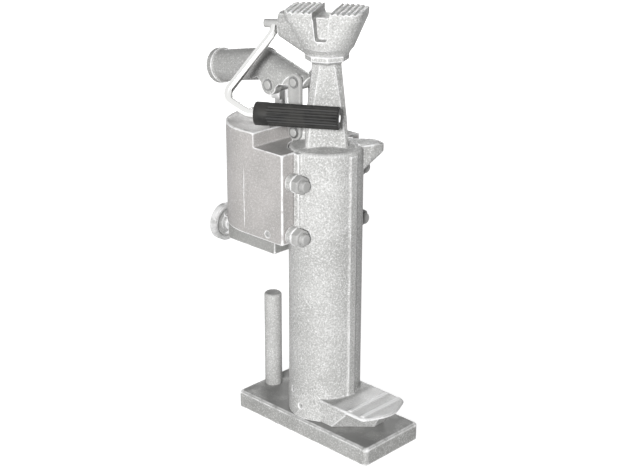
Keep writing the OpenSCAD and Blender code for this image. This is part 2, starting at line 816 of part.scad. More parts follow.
// One open coil as a single tube of six sides
module coil(r, wire, turns, pitch, z0) {
  rings = turns * spring_ring;
  pts = [for (i = [0:rings]) for (p = coil_ring(360 * i / spring_ring, r, wire, pitch, z0)) p];
  sides = [for (i = [0:rings - 1], k = [0:5]) let (m = (k + 1) % 6)
    each [[6 * i + k, 6 * i + m, 6 * i + 6 + k], [6 * i + m, 6 * i + 6 + m, 6 * i + 6 + k]]];
  ends = [for (k = [1:4]) each [[0, k + 1, k], [6 * rings, 6 * rings + k, 6 * rings + k + 1]]];
  polyhedron(points = pts, faces = concat(sides, ends), convexity = 8);
}

module valve_springs() {
  spring_z = block_z0 + plug_h + spring_wire_r + 0.1;
  spring_top = ball_z - sqrt(pow(ball_d / 2 + spring_wire_r + 0.05, 2) - pow(spring_r, 2));
  pitch = (spring_top - spring_z) / spring_turns;
  color("gray") for (s = [-1, 1]) translate([-plunger_x, s * valve_y, 0])
    coil(spring_r, spring_wire_r, spring_turns, pitch, spring_z);
}

module valve_plugs() {
  color("dimgray") for (s = [-1, 1]) translate([-plunger_x, s * valve_y, block_z0 + 0.2]) difference() {
    cylinder(d = valve_bore_d - 2 * close_fit, h = plug_h - 0.2);
    translate([0, 0, -past]) cylinder(d = 6 / cos(30), h = 4, $fn = 6);
  }
}

module plunger_seal() {
  color("black") translate([-plunger_x, 0, gland_low_z - packing_h + 0.1]) difference() {
    cylinder(d = gland_d, h = packing_h - 0.2);
    translate([0, 0, -past]) cylinder(d = plunger_d + 2 * run_fit, h = packing_h + 2 * past);
  }
}

module plunger_gland() {
  color("silver") translate([-plunger_x, 0, 0]) difference() {
    union() {
      translate([0, 0, gland_low_z]) cylinder(d = gland_d, h = box_top_z - gland_low_z + past);
      translate([0, 0, box_top_z]) cylinder(d = gland_af / cos(30), h = gland_top_z - box_top_z, $fn = 6);
    }
    translate([0, 0, gland_low_z - past]) cylinder(d = plunger_d + 2 * run_fit, h = gland_top_z);
  }
}

// Plunger with a flat head and a slotted eye for the lever's pin
module pump_plunger() {
  color("silver") difference() {
    union() {
      translate([-plunger_x, 0, plunger_low_z]) cylinder(d = plunger_d, h = plunger_pin_z - plunger_low_z);
      translate([-plunger_x, 0, plunger_pin_z]) rod_y(-head_half, head_half, 28);
      translate([-plunger_x - 9, -head_half, plunger_pin_z - 24]) cube([18, 2 * head_half, 24]);
    }
    for (s = [-1, 1]) translate([slot_x + s * slot_play_x, 0, plunger_pin_z])
      rod_y(-head_half - past, head_half + past, pin_d + 2 * slot_play_z);
    translate([slot_x - slot_play_x, -head_half - past, plunger_pin_z - pin_d / 2 - slot_play_z])
      cube([2 * slot_play_x, 2 * head_half + 2 * past, pin_d + 2 * slot_play_z]);
  }
}

module release_gland() {
  color("silver") translate([0, spindle_y, spindle_z]) difference() {
    union() {
      rod_x(-block_rear, -block_rear + 11, spindle_gland_d);
      hex_x(-block_rear - 9, -block_rear, 24);
    }
    rod_x(-block_rear - 10, -block_rear + 12, spindle_d + 2 * run_fit);
  }
}

module release_spindle() {
  color("silver") difference() {
    translate([0, spindle_y, spindle_z]) {
      rod_x(knob_rear + 2, spindle_tip - 6, spindle_d);
      translate([spindle_tip - 6, 0, 0]) rotate([0, 90, 0]) cylinder(d1 = spindle_d, d2 = 5, h = 6);
    }
    knob_pin_hole();
  }
}

// Cross hole through the hub and the spindle
module knob_pin_hole() {
  translate([knob_front + hub_len / 2, spindle_y, spindle_z])
    cylinder(d = knob_pin_d + 2 * close_fit, h = hub_d + 2 * past, center = true);
}

// Hand knob with a thick rim, dished on both faces
module release_knob() {
  rim = 6;
  dish = 3;
  color("silver") difference() {
    translate([knob_rear, spindle_y, spindle_z]) rotate([0, 90, 0]) rotate_extrude() polygon([
      [spindle_d / 2 + close_fit, dish], [knob_d / 2 - rim - dish, dish],
      [knob_d / 2 - rim, 0], [knob_d / 2 - 2, 0],
      [knob_d / 2, 2], [knob_d / 2, knob_thk - 2], [knob_d / 2 - 2, knob_thk], [knob_d / 2 - rim, knob_thk],
      [knob_d / 2 - rim - dish, knob_thk - dish], [hub_d / 2, knob_thk - dish], [hub_d / 2, knob_thk + hub_len],
      [spindle_d / 2 + close_fit, knob_thk + hub_len]]);
    knob_pin_hole();
  }
}

module knob_pin() {
  color("dimgray") translate([knob_front + hub_len / 2, spindle_y, spindle_z])
    cylinder(d = knob_pin_d, h = hub_d, center = true);
}

// One flat plate between the fulcrum pin and the lower pin, its inner face at y0
module side_plate(y0) {
  color("lightgray") difference() {
    union() {
      translate([-fulcrum_x - lug_r, y0, link_pin_z]) cube([plate_w, plate_thk, fulcrum_z - link_pin_z]);
      for (z = [link_pin_z, fulcrum_z]) translate([-fulcrum_x, y0, z]) rod_y(0, plate_thk, plate_w);
    }
    for (z = [link_pin_z, fulcrum_z])
      translate([-fulcrum_x, y0 - past, z]) rod_y(0, plate_thk + 2 * past, pin_d + 2 * close_fit);
  }
}

module side_plate_near() { side_plate(-plate_out); }
module side_plate_far() { side_plate(plate_in); }

// Round pin along Y with a groove for a clip near each end
module lever_pin(x, z, half, clip_y) {
  color("silver") translate([x, 0, z]) difference() {
    union() {
      rod_y(-half + 1, half - 1, pin_d);
      translate([0, half - 1, 0]) rotate([-90, 0, 0]) cylinder(d1 = pin_d, d2 = pin_d - 2, h = 1);
      translate([0, -half, 0]) rotate([-90, 0, 0]) cylinder(d1 = pin_d - 2, d2 = pin_d, h = 1);
    }
    for (y = [clip_y, -clip_y - clip_thk]) translate([0, y, 0]) difference() {
      rod_y(0, clip_thk, pin_d + 4);
      rod_y(-past, clip_thk + past, pin_d - 2 * clip_groove);
    }
  }
}

// The pair of spring clips that keep one pin in place
module clip_pair(x, z, clip_y) {
  color("gray") for (y = [clip_y, -clip_y - clip_thk]) translate([x, y + 0.05, z]) difference() {
    rod_y(0, clip_thk - 0.1, clip_d);
    rod_y(-past, clip_thk + past, pin_d - 2 * clip_groove + 0.1);
  }
}

module fulcrum_pin() { lever_pin(-fulcrum_x, fulcrum_z, pin_out, plate_out + 0.3); }
module link_pin() { lever_pin(-fulcrum_x, link_pin_z, pin_out, plate_out + 0.3); }
module plate_clips() { for (z = [link_pin_z, fulcrum_z]) clip_pair(-fulcrum_x, z, plate_out + 0.3); }
module plunger_pin() { lever_pin(-plunger_x, plunger_pin_z, ear_pin_out, ear_half + 0.3); }
module plunger_clips() { clip_pair(-plunger_x, plunger_pin_z, ear_half + 0.3); }

// Side view of the lever between the fulcrum and the round socket, with a high top
module lever_side() {
  translate([-plunger_x, plunger_pin_z]) circle(r = ear_lobe_r);
  translate([-fulcrum_x, fulcrum_z]) circle(r = lug_r);
  polygon([
    [-plunger_x - ear_lobe_r, plunger_pin_z + 1], [-plunger_x - 24, plunger_pin_z + 8],
    [-plunger_x - 42, plunger_pin_z + 1], [-plunger_x - 42, plunger_pin_z + 60],
    [-fulcrum_x - 3, plunger_pin_z + 60], [-fulcrum_x + lug_r - 1, fulcrum_z + 5],
    [-fulcrum_x + 3, fulcrum_z - lug_r + 0.6], [-fulcrum_x - 14, fulcrum_z - 8],
    [-plunger_x + 22, plunger_pin_z + 4], [-plunger_x + ear_lobe_r, plunger_pin_z - 2]]);
}

// Frame of the lever's round back: X runs down along its crest towards the fulcrum
module crest_frame() {
  translate([-plunger_x, 0, crest_z]) rotate([0, crest_slope, 0]) children();
}

module lever_socket() {
  taper = ear_half - tongue_half;
  side_cut_x = -fulcrum_x - lug_r - taper - 2 * free_gap;
  color("silver") difference() {
    union() {
      intersection() {
        rotate([90, 0, 0]) linear_extrude(height = 2 * ear_half, center = true) lever_side();
        crest_frame() {
          translate([0, 0, -crest_r]) rod_x(-60, 80, 2 * crest_r);
          translate([-60, -crest_r, -crest_r - 90]) cube([140, 2 * crest_r, 90]);
        }
      }
      socket_frame() {
        rod_x(62, socket_len, socket_d);
        rod_x(socket_len - rim_len, socket_len, rim_d);
      }
    }
    // Slanting faces from the wide ears to the narrow tongue
    for (s = [-1, 1]) translate([0, 0, plunger_pin_z - 60]) linear_extrude(height = 140)
      polygon([[side_cut_x, s * (ear_half + past)], [side_cut_x, s * ear_half],
        [side_cut_x + taper, s * tongue_half], [0, s * tongue_half], [0, s * (ear_half + past)]]);
    socket_frame() {
      rod_x(socket_len - socket_depth, socket_len + past, socket_bore_d);
      translate([socket_len - 2, 0, 0]) rotate([0, 90, 0])
        cylinder(d1 = socket_bore_d, d2 = socket_bore_d + 4, h = 2 + past);
    }
    // Room for the head of the plunger
    translate([-plunger_x - 17.5, -head_half - 0.5, plunger_pin_z - 40]) cube([37, 2 * head_half + 1, 57.5]);
    translate([-plunger_x, 0, plunger_pin_z]) rod_y(-ear_half - past, ear_half + past, pin_d + 2 * close_fit);
    translate([-fulcrum_x, 0, fulcrum_z]) rod_y(-ear_half - past, ear_half + past, pin_d + 2 * run_fit);
  }
}

// Bowl of the load cap: a round foot below, a long round-cornered rim above
module cap_bowl() {
  rim_x = cap_r - rim_corner_r;
  rim_y = cap_half - rim_corner_r;
  rotate_extrude() polygon([[0, 0], [cap_foot_r, 0], [cap_foot_r + 1.5, 4], [cap_waist_r, cap_waist_z],
    [0, cap_waist_z]]);
  hull() {
    translate([0, 0, cap_waist_z - 0.5]) cylinder(r = cap_waist_r, h = 0.5, $fn = 48);
    for (sx = [-1, 1], sy = [-1, 1]) translate([sx * rim_x, sy * rim_y, cap_height - 12]) {
      cylinder(r = rim_corner_r - 1, h = 12, $fn = 32);
      translate([0, 0, 9]) cylinder(r = rim_corner_r, h = 1.5, $fn = 32);
    }
  }
}

// Boss for the handle pivot, blended into the bowl and its foot
module cap_boss() {
  hull() {
    translate([0, 0, pivot_rise]) rod_x(boss_face, boss_face + 8, 2 * boss_r);
    translate([boss_face + 5, -boss_r, pivot_rise]) cube([10, 2 * boss_r, boss_r]);
    translate([-42, -cap_half + 6, cap_height - 20]) cube([30, 2 * cap_half - 12, 14]);
    cylinder(r = cap_foot_r - 1, h = 5, $fn = 32);
  }
}

// Notch in the front or rear wall of the cap: narrower at its flat bottom, with round corners
module cap_notch() {
  low = notch_low_z + notch_low_r;
  rotate([90, 0, 0]) linear_extrude(height = 2 * cap_half) hull() {
    for (s = [-1, 1]) translate([s * (notch_low_w / 2 - notch_low_r), low]) circle(r = notch_low_r);
    polygon([[-notch_low_w / 2, low], [notch_low_w / 2, low], [notch_top_w / 2, cap_height + past],
      [-notch_top_w / 2, cap_height + past]]);
  }
}

module load_cap() {
  color("silver") cap_frame() difference() {
    union() {
      cap_bowl();
      cap_boss();
    }
    translate([0, 0, -past]) cylinder(d = spigot_d + 2 * run_fit, h = spigot_h + 2 + past);
    translate([-channel_w / 2, -2 * cap_half, cap_height - channel_depth])
      cube([channel_w, 4 * cap_half, cap_height]);
    for (a = [0, 180]) rotate([0, 0, a]) translate([0, -cap_half + notch_depth, 0]) cap_notch();
    // Grooves that leave teeth across both jaws
    for (s = [-1, 1], k = [0:groove_count - 1])
      translate([s * (channel_w / 2 + tooth_pitch * (k + 0.5)), 0, cap_height]) rotate([90, 0, 0])
        linear_extrude(height = 4 * cap_half, center = true)
          polygon([[tooth_flat - tooth_pitch / 2, past], [-0.4, -tooth_h], [0.4, -tooth_h],
            [tooth_pitch / 2 - tooth_flat, past]]);
    translate([0, 0, pivot_rise]) rod_x(boss_face - past, pivot_in + 2, rod_d + 2 * run_fit);
    translate([pivot_groove_x, rod_d / 2, 0]) cylinder(d = lock_pin_d + 2 * close_fit, h = pivot_rise + 12);
    translate([0, 0, groove_z + groove_h / 2 - cap_z0]) rod_y(0, 60, side_screw_d + 2 * close_fit);
  }
}

module cap_screw() {
  color("dimgray") cap_frame() translate([0, 0, groove_z + groove_h / 2 - cap_z0]) difference() {
    rod_y(spigot_d / 2 - groove_depth + free_gap, cap_foot_r + 3, side_screw_d);
    rod_y(cap_foot_r - 1, cap_foot_r + 4, 4);
  }
}

module handle_pivot() {
  color("silver") handle_frame() difference() {
    union() {
      rod_x(pivot_end + 1.5, pivot_in, rod_d);
      translate([pivot_end, 0, 0]) rotate([0, 90, 0]) cylinder(d1 = rod_d - 3, d2 = rod_d, h = 1.5);
    }
    translate([pivot_groove_x - 3.5, 0, 0]) rotate([0, 90, 0]) difference() {
      cylinder(d = rod_d + 4, h = 7);
      translate([0, 0, -past]) cylinder(d = rod_d - lock_pin_d - 0.6, h = 7 + 2 * past);
    }
  }
}

module pivot_lock_pin() {
  color("dimgray") cap_frame() translate([pivot_groove_x, rod_d / 2, pivot_rise - 19])
    cylinder(d = lock_pin_d, h = 30);
}

// A ring of the rod is [x, z, lean], the lean counted from straight down towards -X.
// Rings of a bend from one lean to another that starts at x and z
function bend_rings(x, z, r, a, b) = let (turn = b > a ? 1 : -1)
  [for (i = [0:bend_steps]) let (t = a + (b - a) * i / bend_steps)
    [x + turn * r * (cos(t) - cos(a)), z - turn * r * (sin(t) - sin(a)), t]];

// Rings of a bend that starts after a straight part of the given length
function next_bend(rings, len, r, b) = let (e = rings[len(rings) - 1], a = e[2])
  concat(rings, bend_rings(e[0] - len * sin(a), e[1] - len * cos(a), r, a, b));

// Drop of a bend between two leans
function bend_drop(r, a, b) = r * abs(sin(a) - sin(b));

// Rod bent outwards below the pivot, round the knee and level inside the grip
module handle_rod() {
  leg_drop = handle_drop - neck_len * cos(neck_lean) - bend_drop(neck_bend_r, neck_lean, leg_lean)
    - bend_drop(knee_r, leg_lean, sole_lean) - sole_len * cos(sole_lean) - bend_drop(heel_r, sole_lean, -90);
  neck = next_bend([[rod_join, 0, neck_lean]], neck_len, neck_bend_r, leg_lean);
  knee = next_bend(neck, leg_drop / cos(leg_lean), knee_r, sole_lean);
  heel = next_bend(knee, sole_len, heel_r, -90);
  start = [rod_join - 3 * sin(neck_lean), -3 * cos(neck_lean), neck_lean];
  rings = concat([start], [for (k = [1:len(heel) - 1]) heel[k]], [[grip_right - 1.5, -handle_drop, -90]]);
  sides = rod_sides;
  pts = [for (g = rings, k = [0:sides - 1]) let (b = 360 * k / sides, n = rod_d / 2 * cos(b))
    [g[0] + n * cos(g[2]), rod_d / 2 * sin(b), g[1] - n * sin(g[2])]];
  last = sides * (len(rings) - 1);
  skin = [for (i = [0:len(rings) - 2], k = [0:sides - 1]) let (a = i * sides, m = (k + 1) % sides)
    each [[a + k, a + sides + k, a + m], [a + m, a + sides + k, a + sides + m]]];
  ends = [for (k = [1:sides - 2]) each [[0, k, k + 1], [last, last + k + 1, last + k]]];
  color("white") handle_frame() difference() {
    polyhedron(points = pts, faces = concat(skin, ends), convexity = 6);
    rod_x(-200, 0, rod_d);
  }
}

module handle_grip() {
  ribs = 20;
  smooth = 20;
  left = grip_right - grip_len;
  color("black") handle_frame() translate([0, 0, -handle_drop]) difference() {
    union() {
      rod_x(left, left + smooth, grip_d);
      rod_x(left + smooth - past, grip_right, grip_d - 2);
      for (k = [0:ribs - 1]) rotate([360 * k / ribs, 0, 0])
        translate([left + smooth - past, -1.3, grip_d / 2 - 4]) cube([grip_len - smooth + past, 2.6, 3.9]);
    }
    rod_x(left - past, grip_right + past, rod_d + 2 * close_fit);
  }
}

base_plate();
base_post();
ram();
ram_lock_screw();
piston();
piston_seal();
piston_screw();
body_casting();
cylinder_liner();
guide_bush();
wiper_ring();
lock_screws();
pump_housing();
housing_gasket();
housing_studs();
housing_nuts();
filler_plug();
level_plug();
pump_block();
block_gasket();
block_screws();
pump_cylinder();
delivery_pipe();
valve_balls();
valve_springs();
valve_plugs();
plunger_seal();
plunger_gland();
pump_plunger();
release_gland();
release_spindle();
release_knob();
knob_pin();
side_plate_near();
side_plate_far();
fulcrum_pin();
link_pin();
plate_clips();
lever_socket();
plunger_pin();
plunger_clips();
load_cap();
cap_screw();
handle_pivot();
pivot_lock_pin();
handle_rod();
handle_grip();
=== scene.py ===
"""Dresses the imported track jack: castings, turned pieces, handle, finishes, floor, lights and camera."""
from __future__ import annotations

import logging
import math
from abc import ABC, abstractmethod
from dataclasses import dataclass, field
from enum import Enum
from typing import Any

import bmesh
import bpy
from mathutils import Matrix, Vector


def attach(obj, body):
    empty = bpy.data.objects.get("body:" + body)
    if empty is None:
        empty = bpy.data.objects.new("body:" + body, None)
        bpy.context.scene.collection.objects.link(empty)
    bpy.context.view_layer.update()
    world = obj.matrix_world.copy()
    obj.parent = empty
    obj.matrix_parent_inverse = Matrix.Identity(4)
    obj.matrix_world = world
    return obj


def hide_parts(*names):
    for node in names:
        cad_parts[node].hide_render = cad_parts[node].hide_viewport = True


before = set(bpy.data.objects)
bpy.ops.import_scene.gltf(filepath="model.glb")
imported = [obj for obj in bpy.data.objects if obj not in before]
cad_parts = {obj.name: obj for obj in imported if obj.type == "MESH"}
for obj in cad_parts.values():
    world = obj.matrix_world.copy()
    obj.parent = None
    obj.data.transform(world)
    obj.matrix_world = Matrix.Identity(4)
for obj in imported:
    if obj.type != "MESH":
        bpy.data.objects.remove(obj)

log = logging.getLogger("track_jack")
MM = 0.001
WHITE = (1, 1, 1, 1)
Colour = tuple[float, float, float, float]
Point = tuple[float, float, float]
Socket = bpy.types.NodeSocket


# ---------------------------------------------------------------- node graphs


class Graph:
    """Adds nodes to one node tree and joins them with short calls."""

    def __init__(self, tree: bpy.types.NodeTree) -> None:
        """Keeps the tree that this graph writes to."""
        self.tree = tree

    def feed(self, socket: Socket, value: Any) -> None:
        """Joins an input to another node's socket, or writes a plain value into it.

        Args:
            socket: The input.
            value: Another node's socket, or a plain value.
        """
        if isinstance(value, Socket):
            self.tree.links.new(value, socket)
        else:
            socket.default_value = value

    def add(self, kind: str, inputs: dict[Any, Any] | None = None, **settings: Any) -> bpy.types.Node:
        """Adds one node.

        Args:
            kind: The node's type name without its ShaderNode prefix.
            inputs: Values or other nodes' sockets for the inputs, by name or number.
            settings: Properties of the node.

        Returns:
            The new node.
        """
        node = self.tree.nodes.new(kind if kind.startswith("Node") else "ShaderNode" + kind)
        for key, value in settings.items():
            setattr(node, key, value)
        for key, value in (inputs or {}).items():
            self.feed(node.inputs[key], value)
        return node

    def calc(self, operation: str, first: Any, second: Any, clamp: bool = False) -> Socket:
        """Takes one arithmetic step on two values or sockets and returns its socket."""
        return self.add("Math", {0: first, 1: second}, operation=operation, use_clamp=clamp).outputs[0]

    def plus(self, first: Any, second: Any) -> Socket:
        """Adds two values or sockets and returns the sum's socket."""
        return self.calc("ADD", first, second)

    def times(self, first: Any, second: Any, clamp: bool = False) -> Socket:
        """Multiplies two values or sockets and returns the product's socket."""
        return self.calc("MULTIPLY", first, second, clamp)

    def ramp(self, value: Any, low: float, high: float) -> Socket:
        """Maps a value from low to high onto a smooth step from 0 to 1 and returns its socket."""
        inputs = {"Value": value, "From Min": low, "From Max": high}
        return self.add("MapRange", inputs, interpolation_type="SMOOTHSTEP").outputs["Result"]

    def blend(self, factor: Any, first: Any, second: Any) -> Socket:
        """Mixes two colours by a factor and returns the mixed colour's socket."""
        return self.add("Mix", {0: factor, 6: first, 7: second}, data_type="RGBA").outputs[2]

    def here(self) -> Socket:
        """Returns the socket of the place on the object, in metres."""
        return self.add("TexCoord").outputs["Object"]

    def noise(self, place: Socket, scale: Any, detail: float, roughness: float = 0.5) -> Socket:
        """Adds soft noise over a place and returns its value's socket."""
        inputs = {"Vector": place, "Scale": scale, "Detail": detail, "Roughness": roughness}
        return self.add("TexNoise", inputs).outputs[0]

    def seen(self) -> Socket:
        """Returns the socket that is 1 for rays from the camera and from mirrors, and 0 for others."""
        rays = self.add("LightPath")
        return self.calc("MAXIMUM", rays.outputs["Is Camera Ray"], rays.outputs["Is Glossy Ray"])


class Effect(ABC):
    """A shader node group that several finishes share, built the first time that it is used."""

    name: str = ""
    inputs: tuple[tuple[str, str, Any], ...] = ()
    outputs: tuple[tuple[str, str], ...] = ()

    @abstractmethod
    def wire(self, graph: Graph, given: bpy.types.Node) -> dict[str, Socket]:
        """Builds the inside of the group.

        Args:
            graph: The group's own graph.
            given: The group's input node.

        Returns:
            The socket for each output, by name.
        """

    def tree(self) -> bpy.types.NodeTree:
        """Makes the group when it is first asked for.

        Returns:
            The group's node tree.
        """
        made = bpy.data.node_groups.get(self.name)
        if made:
            return made
        made = bpy.data.node_groups.new(self.name, "ShaderNodeTree")
        for label, kind, value in self.inputs:
            socket = made.interface.new_socket(name=label, in_out="INPUT", socket_type="NodeSocket" + kind)
            socket.default_value = value
        for label, kind in self.outputs:
            made.interface.new_socket(name=label, in_out="OUTPUT", socket_type="NodeSocket" + kind)
        graph = Graph(made)
        given, result = graph.add("NodeGroupInput"), graph.add("NodeGroupOutput")
        for label, socket in self.wire(graph, given).items():
            made.links.new(socket, result.inputs[label])
        return made

    def place(self, graph: Graph, **values: Any) -> bpy.types.Node:
        """Places the group in a material's graph with the given inputs and returns its node."""
        return graph.add("Group", values, node_tree=self.tree())


class CastGrain(Effect):
    """Pebbled skin of a sand casting under thin paint."""

    name = "cast_grain"
    inputs = (("Scale", "Float", 400.0),)
    outputs = (("Height", "Float"), ("Fleck", "Float"), ("Pit", "Float"))
    coarse_roughness = 0.55
    fine_ratio, fine_height = 2.6, 0.35
    dent_ratio, dent_depth = 0.7, 0.4
    coarse_share, fine_share = 0.6, 0.4
    fleck_low, fleck_high = 0.52, 0.62
    pit_low, pit_high = 0.48, 0.38

    def wire(self, graph: Graph, given: bpy.types.Node) -> dict[str, Socket]:
        """Sums a coarse grain, a fine grain and shallow dents.

        Args:
            graph: The group's own graph.
            given: The group's input node.

        Returns:
            The relief, the bright flecks on its tops and the dark specks in its hollows.
        """
        place, scale = graph.here(), given.outputs["Scale"]
        coarse = graph.noise(place, scale, 2.0, self.coarse_roughness)
        fine = graph.noise(place, graph.times(scale, self.fine_ratio), 1.0)
        cell_scale = graph.times(scale, self.dent_ratio)
        cells = graph.add("TexVoronoi", {"Vector": place, "Scale": cell_scale}, feature="SMOOTH_F1")
        dents = graph.times(cells.outputs["Distance"], self.dent_depth)
        height = graph.plus(graph.plus(coarse, graph.times(fine, self.fine_height)), dents)
        mixed = graph.plus(graph.times(coarse, self.coarse_share), graph.times(fine, self.fine_share))
        fleck = graph.ramp(mixed, self.fleck_low, self.fleck_high)
        return {"Height": height, "Fleck": fleck, "Pit": graph.ramp(mixed, self.pit_low, self.pit_high)}


class EdgeWearAndHighlight(Effect):
    """Mask that is bright on edges: finish rubbed by handling, and painted highlight along the edges."""

    name = "edge_wear_and_highlight"
    inputs = (("Width", "Float", 0.0028), ("Strength", "Float", 3.0), ("Ridges", "Float", 0.0))
    outputs = (("Mask", "Float"),)
    ridge_low, ridge_high = 0.506, 0.53
    patch_scale, patch_low, patch_high = 90.0, 0.2, 0.55

    def wire(self, graph: Graph, given: bpy.types.Node) -> dict[str, Socket]:
        """Compares the rounded normal with the true one, adds the mesh's ridges and breaks the band up.

        Args:
            graph: The group's own graph.
            given: The group's input node.

        Returns:
            The mask.
        """
        rounded = graph.add("Bevel", {"Radius": given.outputs["Width"]}, samples=4).outputs[0]
        geometry = graph.add("NewGeometry")
        normals = {0: rounded, 1: geometry.outputs["Normal"]}
        same = graph.add("VectorMath", normals, operation="DOT_PRODUCT").outputs["Value"]
        edge = graph.times(graph.calc("SUBTRACT", 1.0, same), given.outputs["Strength"], True)
        ridge = graph.ramp(geometry.outputs["Pointiness"], self.ridge_low, self.ridge_high)
        edge = graph.calc("MAXIMUM", edge, graph.times(ridge, given.outputs["Ridges"]))
        patches = graph.noise(graph.here(), self.patch_scale, 4.0)
        return {"Mask": graph.times(edge, graph.ramp(patches, self.patch_low, self.patch_high), True)}


class GrimeAndTopShade(Effect):
    """Mask of thin soiling and painted shade on faces that look up, patchy where it was wiped."""

    name = "grime_and_top_shade"
    inputs = (("Amount", "Float", 0.5),)
    outputs = (("Mask", "Float"),)
    up_low, up_high = 0.55, 0.97
    patch_scale, patch_low, patch_high = 30.0, 0.3, 0.75
    least = 0.45

    def wire(self, graph: Graph, given: bpy.types.Node) -> dict[str, Socket]:
        """Takes the upward part of the normal and mottles it.

        Args:
            graph: The group's own graph.
            given: The group's input node.

        Returns:
            The mask.
        """
        upward = graph.add("SeparateXYZ", {0: graph.add("NewGeometry").outputs["Normal"]}).outputs["Z"]
        noise = graph.noise(graph.here(), self.patch_scale, 5.0)
        patches = graph.plus(self.least, graph.ramp(noise, self.patch_low, self.patch_high))
        flat = graph.times(graph.ramp(upward, self.up_low, self.up_high), patches)
        return {"Mask": graph.times(flat, given.outputs["Amount"], True)}


class ToneDrift(Effect):
    """Slow change of tone across a painted or machined surface."""

    name = "tone_drift"
    inputs = (("Dark", "Color", (0.4, 0.4, 0.4, 1)), ("Light", "Color", (0.6, 0.6, 0.6, 1)),
              ("Scale", "Float", 14.0))
    outputs = (("Colour", "Color"), ("Value", "Float"))
    drift_low, drift_high = 0.3, 0.7

    def wire(self, graph: Graph, given: bpy.types.Node) -> dict[str, Socket]:
        """Drifts from the dark to the light tone by soft noise.

        Args:
            graph: The group's own graph.
            given: The group's input node.

        Returns:
            The colour and the drift from 0 to 1.
        """
        noise = graph.noise(graph.here(), given.outputs["Scale"], 4.0)
        value = graph.ramp(noise, self.drift_low, self.drift_high)
        return {"Colour": graph.blend(value, given.outputs["Dark"], given.outputs["Light"]), "Value": value}


class ToolLines(Effect):
    """Fine parallel lines left by turning, grinding or drawing."""

    name = "tool_lines"
    inputs = (("Stretch", "Vector", (1.0, 1.0, 1.0)),)
    outputs = (("Height", "Float"),)
    line_scale = 900.0

    def wire(self, graph: Graph, given: bpy.types.Node) -> dict[str, Socket]:
        """Stretches noise so that it reads as lines.

        Args:
            graph: The group's own graph.
            given: The group's input node.

        Returns:
            The relief.
        """
        inputs = {0: graph.here(), 1: given.outputs["Stretch"]}
        stretched = graph.add("VectorMath", inputs, operation="MULTIPLY").outputs[0]
        return {"Height": graph.noise(stretched, self.line_scale, 2.0)}


# ---------------------------------------------------------------- finishes


class Surface(ABC):
    """What every finish can do: wire itself into a material."""

    @abstractmethod
    def build(self, material: bpy.types.Material) -> None:
        """Wires the finish into the material."""

    @staticmethod
    def finish(graph: Graph, colour: Socket, rough: Socket, height: Socket, depth: float,
               **even: float) -> None:
        """Feeds the material's own shader.

        Args:
            graph: The material's graph.
            colour: Socket of the colour.
            rough: Socket of the roughness.
            height: Socket of the relief.
            depth: Depth of the relief in metres.
            even: Values that are even over the surface, with spaces written as underscores.
        """
        shader = graph.tree.nodes["Principled BSDF"]
        bump = graph.add("Bump", {"Strength": 1.0, "Distance": depth, "Height": height})
        for name, socket in (("Base Color", colour), ("Roughness", rough), ("Normal", bump.outputs[0])):
            graph.feed(shader.inputs[name], socket)
        for name, value in even.items():
            graph.feed(shader.inputs[name.replace("_", " ")], value)


@dataclass(frozen=True)
class SilverPaint(Surface):
    """Aluminium paint on a rough or a smooth piece.

    Args:
        dark: Darker tone of the paint.
        light: Lighter tone of the paint.
        worn_and_highlight: Colour of rubbed edges and of the painted highlight along them.
        grime_and_shade: Colour of soiling and painted shade on upper faces.
        grain: Depth of the casting's grain in metres.
        grain_scale: Grains along a metre.
        wear_and_highlight: How strongly edges are rubbed and given painted highlight.
        wear_and_highlight_width: Width of the rubbed, highlit band in metres.
        ridges: How strongly ridges of a fine mesh are rubbed and given painted highlight.
        dirt_and_shade: How much soiling and painted shade lies on upper faces.
        roughness: Roughness of clean paint.
        dirt_matt: Roughness that the full upper-face mask adds.
        fleck_polish: Roughness that a full fleck takes away.
        fleck: Strength of the bright flecks on the grain's tops.
        pit: Strength of the dark specks in the grain's hollows.
        gloss: Strength of the paint's reflections.
    """

    dark: Colour = (0.40, 0.40, 0.39, 1)
    light: Colour = (0.52, 0.52, 0.51, 1)
    worn_and_highlight: Colour = (0.86, 0.86, 0.86, 1)
    grime_and_shade: Colour = (0.25, 0.25, 0.245, 1)
    grain: float = 0.0005
    grain_scale: float = 400.0
    wear_and_highlight: float = 5.0
    wear_and_highlight_width: float = 0.0028
    ridges: float = 1.0
    dirt_and_shade: float = 0.5
    roughness: float = 0.42
    dirt_matt: float = 0.3
    fleck_polish: float = 0.2
    fleck: float = 0.7
    pit: float = 0.5
    gloss: float = 0.2

    def build(self, material: bpy.types.Material) -> None:
        """Wires the paint into the material: specks, flecks, soiling with painted shade on upper faces, and
        rubbed edges with painted highlight over a drifting tone.

        Args:
            material: The material.
        """
        graph = Graph(material.node_tree)
        tone = ToneDrift().place(graph, Dark=self.dark, Light=self.light)
        grain = CastGrain().place(graph, Scale=self.grain_scale)
        edges = EdgeWearAndHighlight().place(graph, Strength=self.wear_and_highlight, Width=self.wear_and_highlight_width, Ridges=self.ridges)
        dirt_and_shade = GrimeAndTopShade().place(graph, Amount=self.dirt_and_shade).outputs["Mask"]
        fleck = graph.times(grain.outputs["Fleck"], self.fleck)
        pit = graph.times(grain.outputs["Pit"], self.pit)
        colour = graph.blend(pit, tone.outputs["Colour"], self.grime_and_shade)
        colour = graph.blend(fleck, colour, self.worn_and_highlight)
        # Upper faces darken towards the dark colour: thin soiling, and painted shade on the tops.
        colour = graph.blend(dirt_and_shade, colour, self.grime_and_shade)
        # Edges lighten: rubbed paint, and painted highlight along them.
        colour = graph.blend(edges.outputs["Mask"], colour, self.worn_and_highlight)
        rough = graph.plus(self.roughness, graph.times(dirt_and_shade, self.dirt_matt))
        rough = graph.calc("SUBTRACT", rough, graph.times(fleck, self.fleck_polish))
        self.finish(graph, colour, rough, grain.outputs["Height"], self.grain, Specular_IOR_Level=self.gloss)


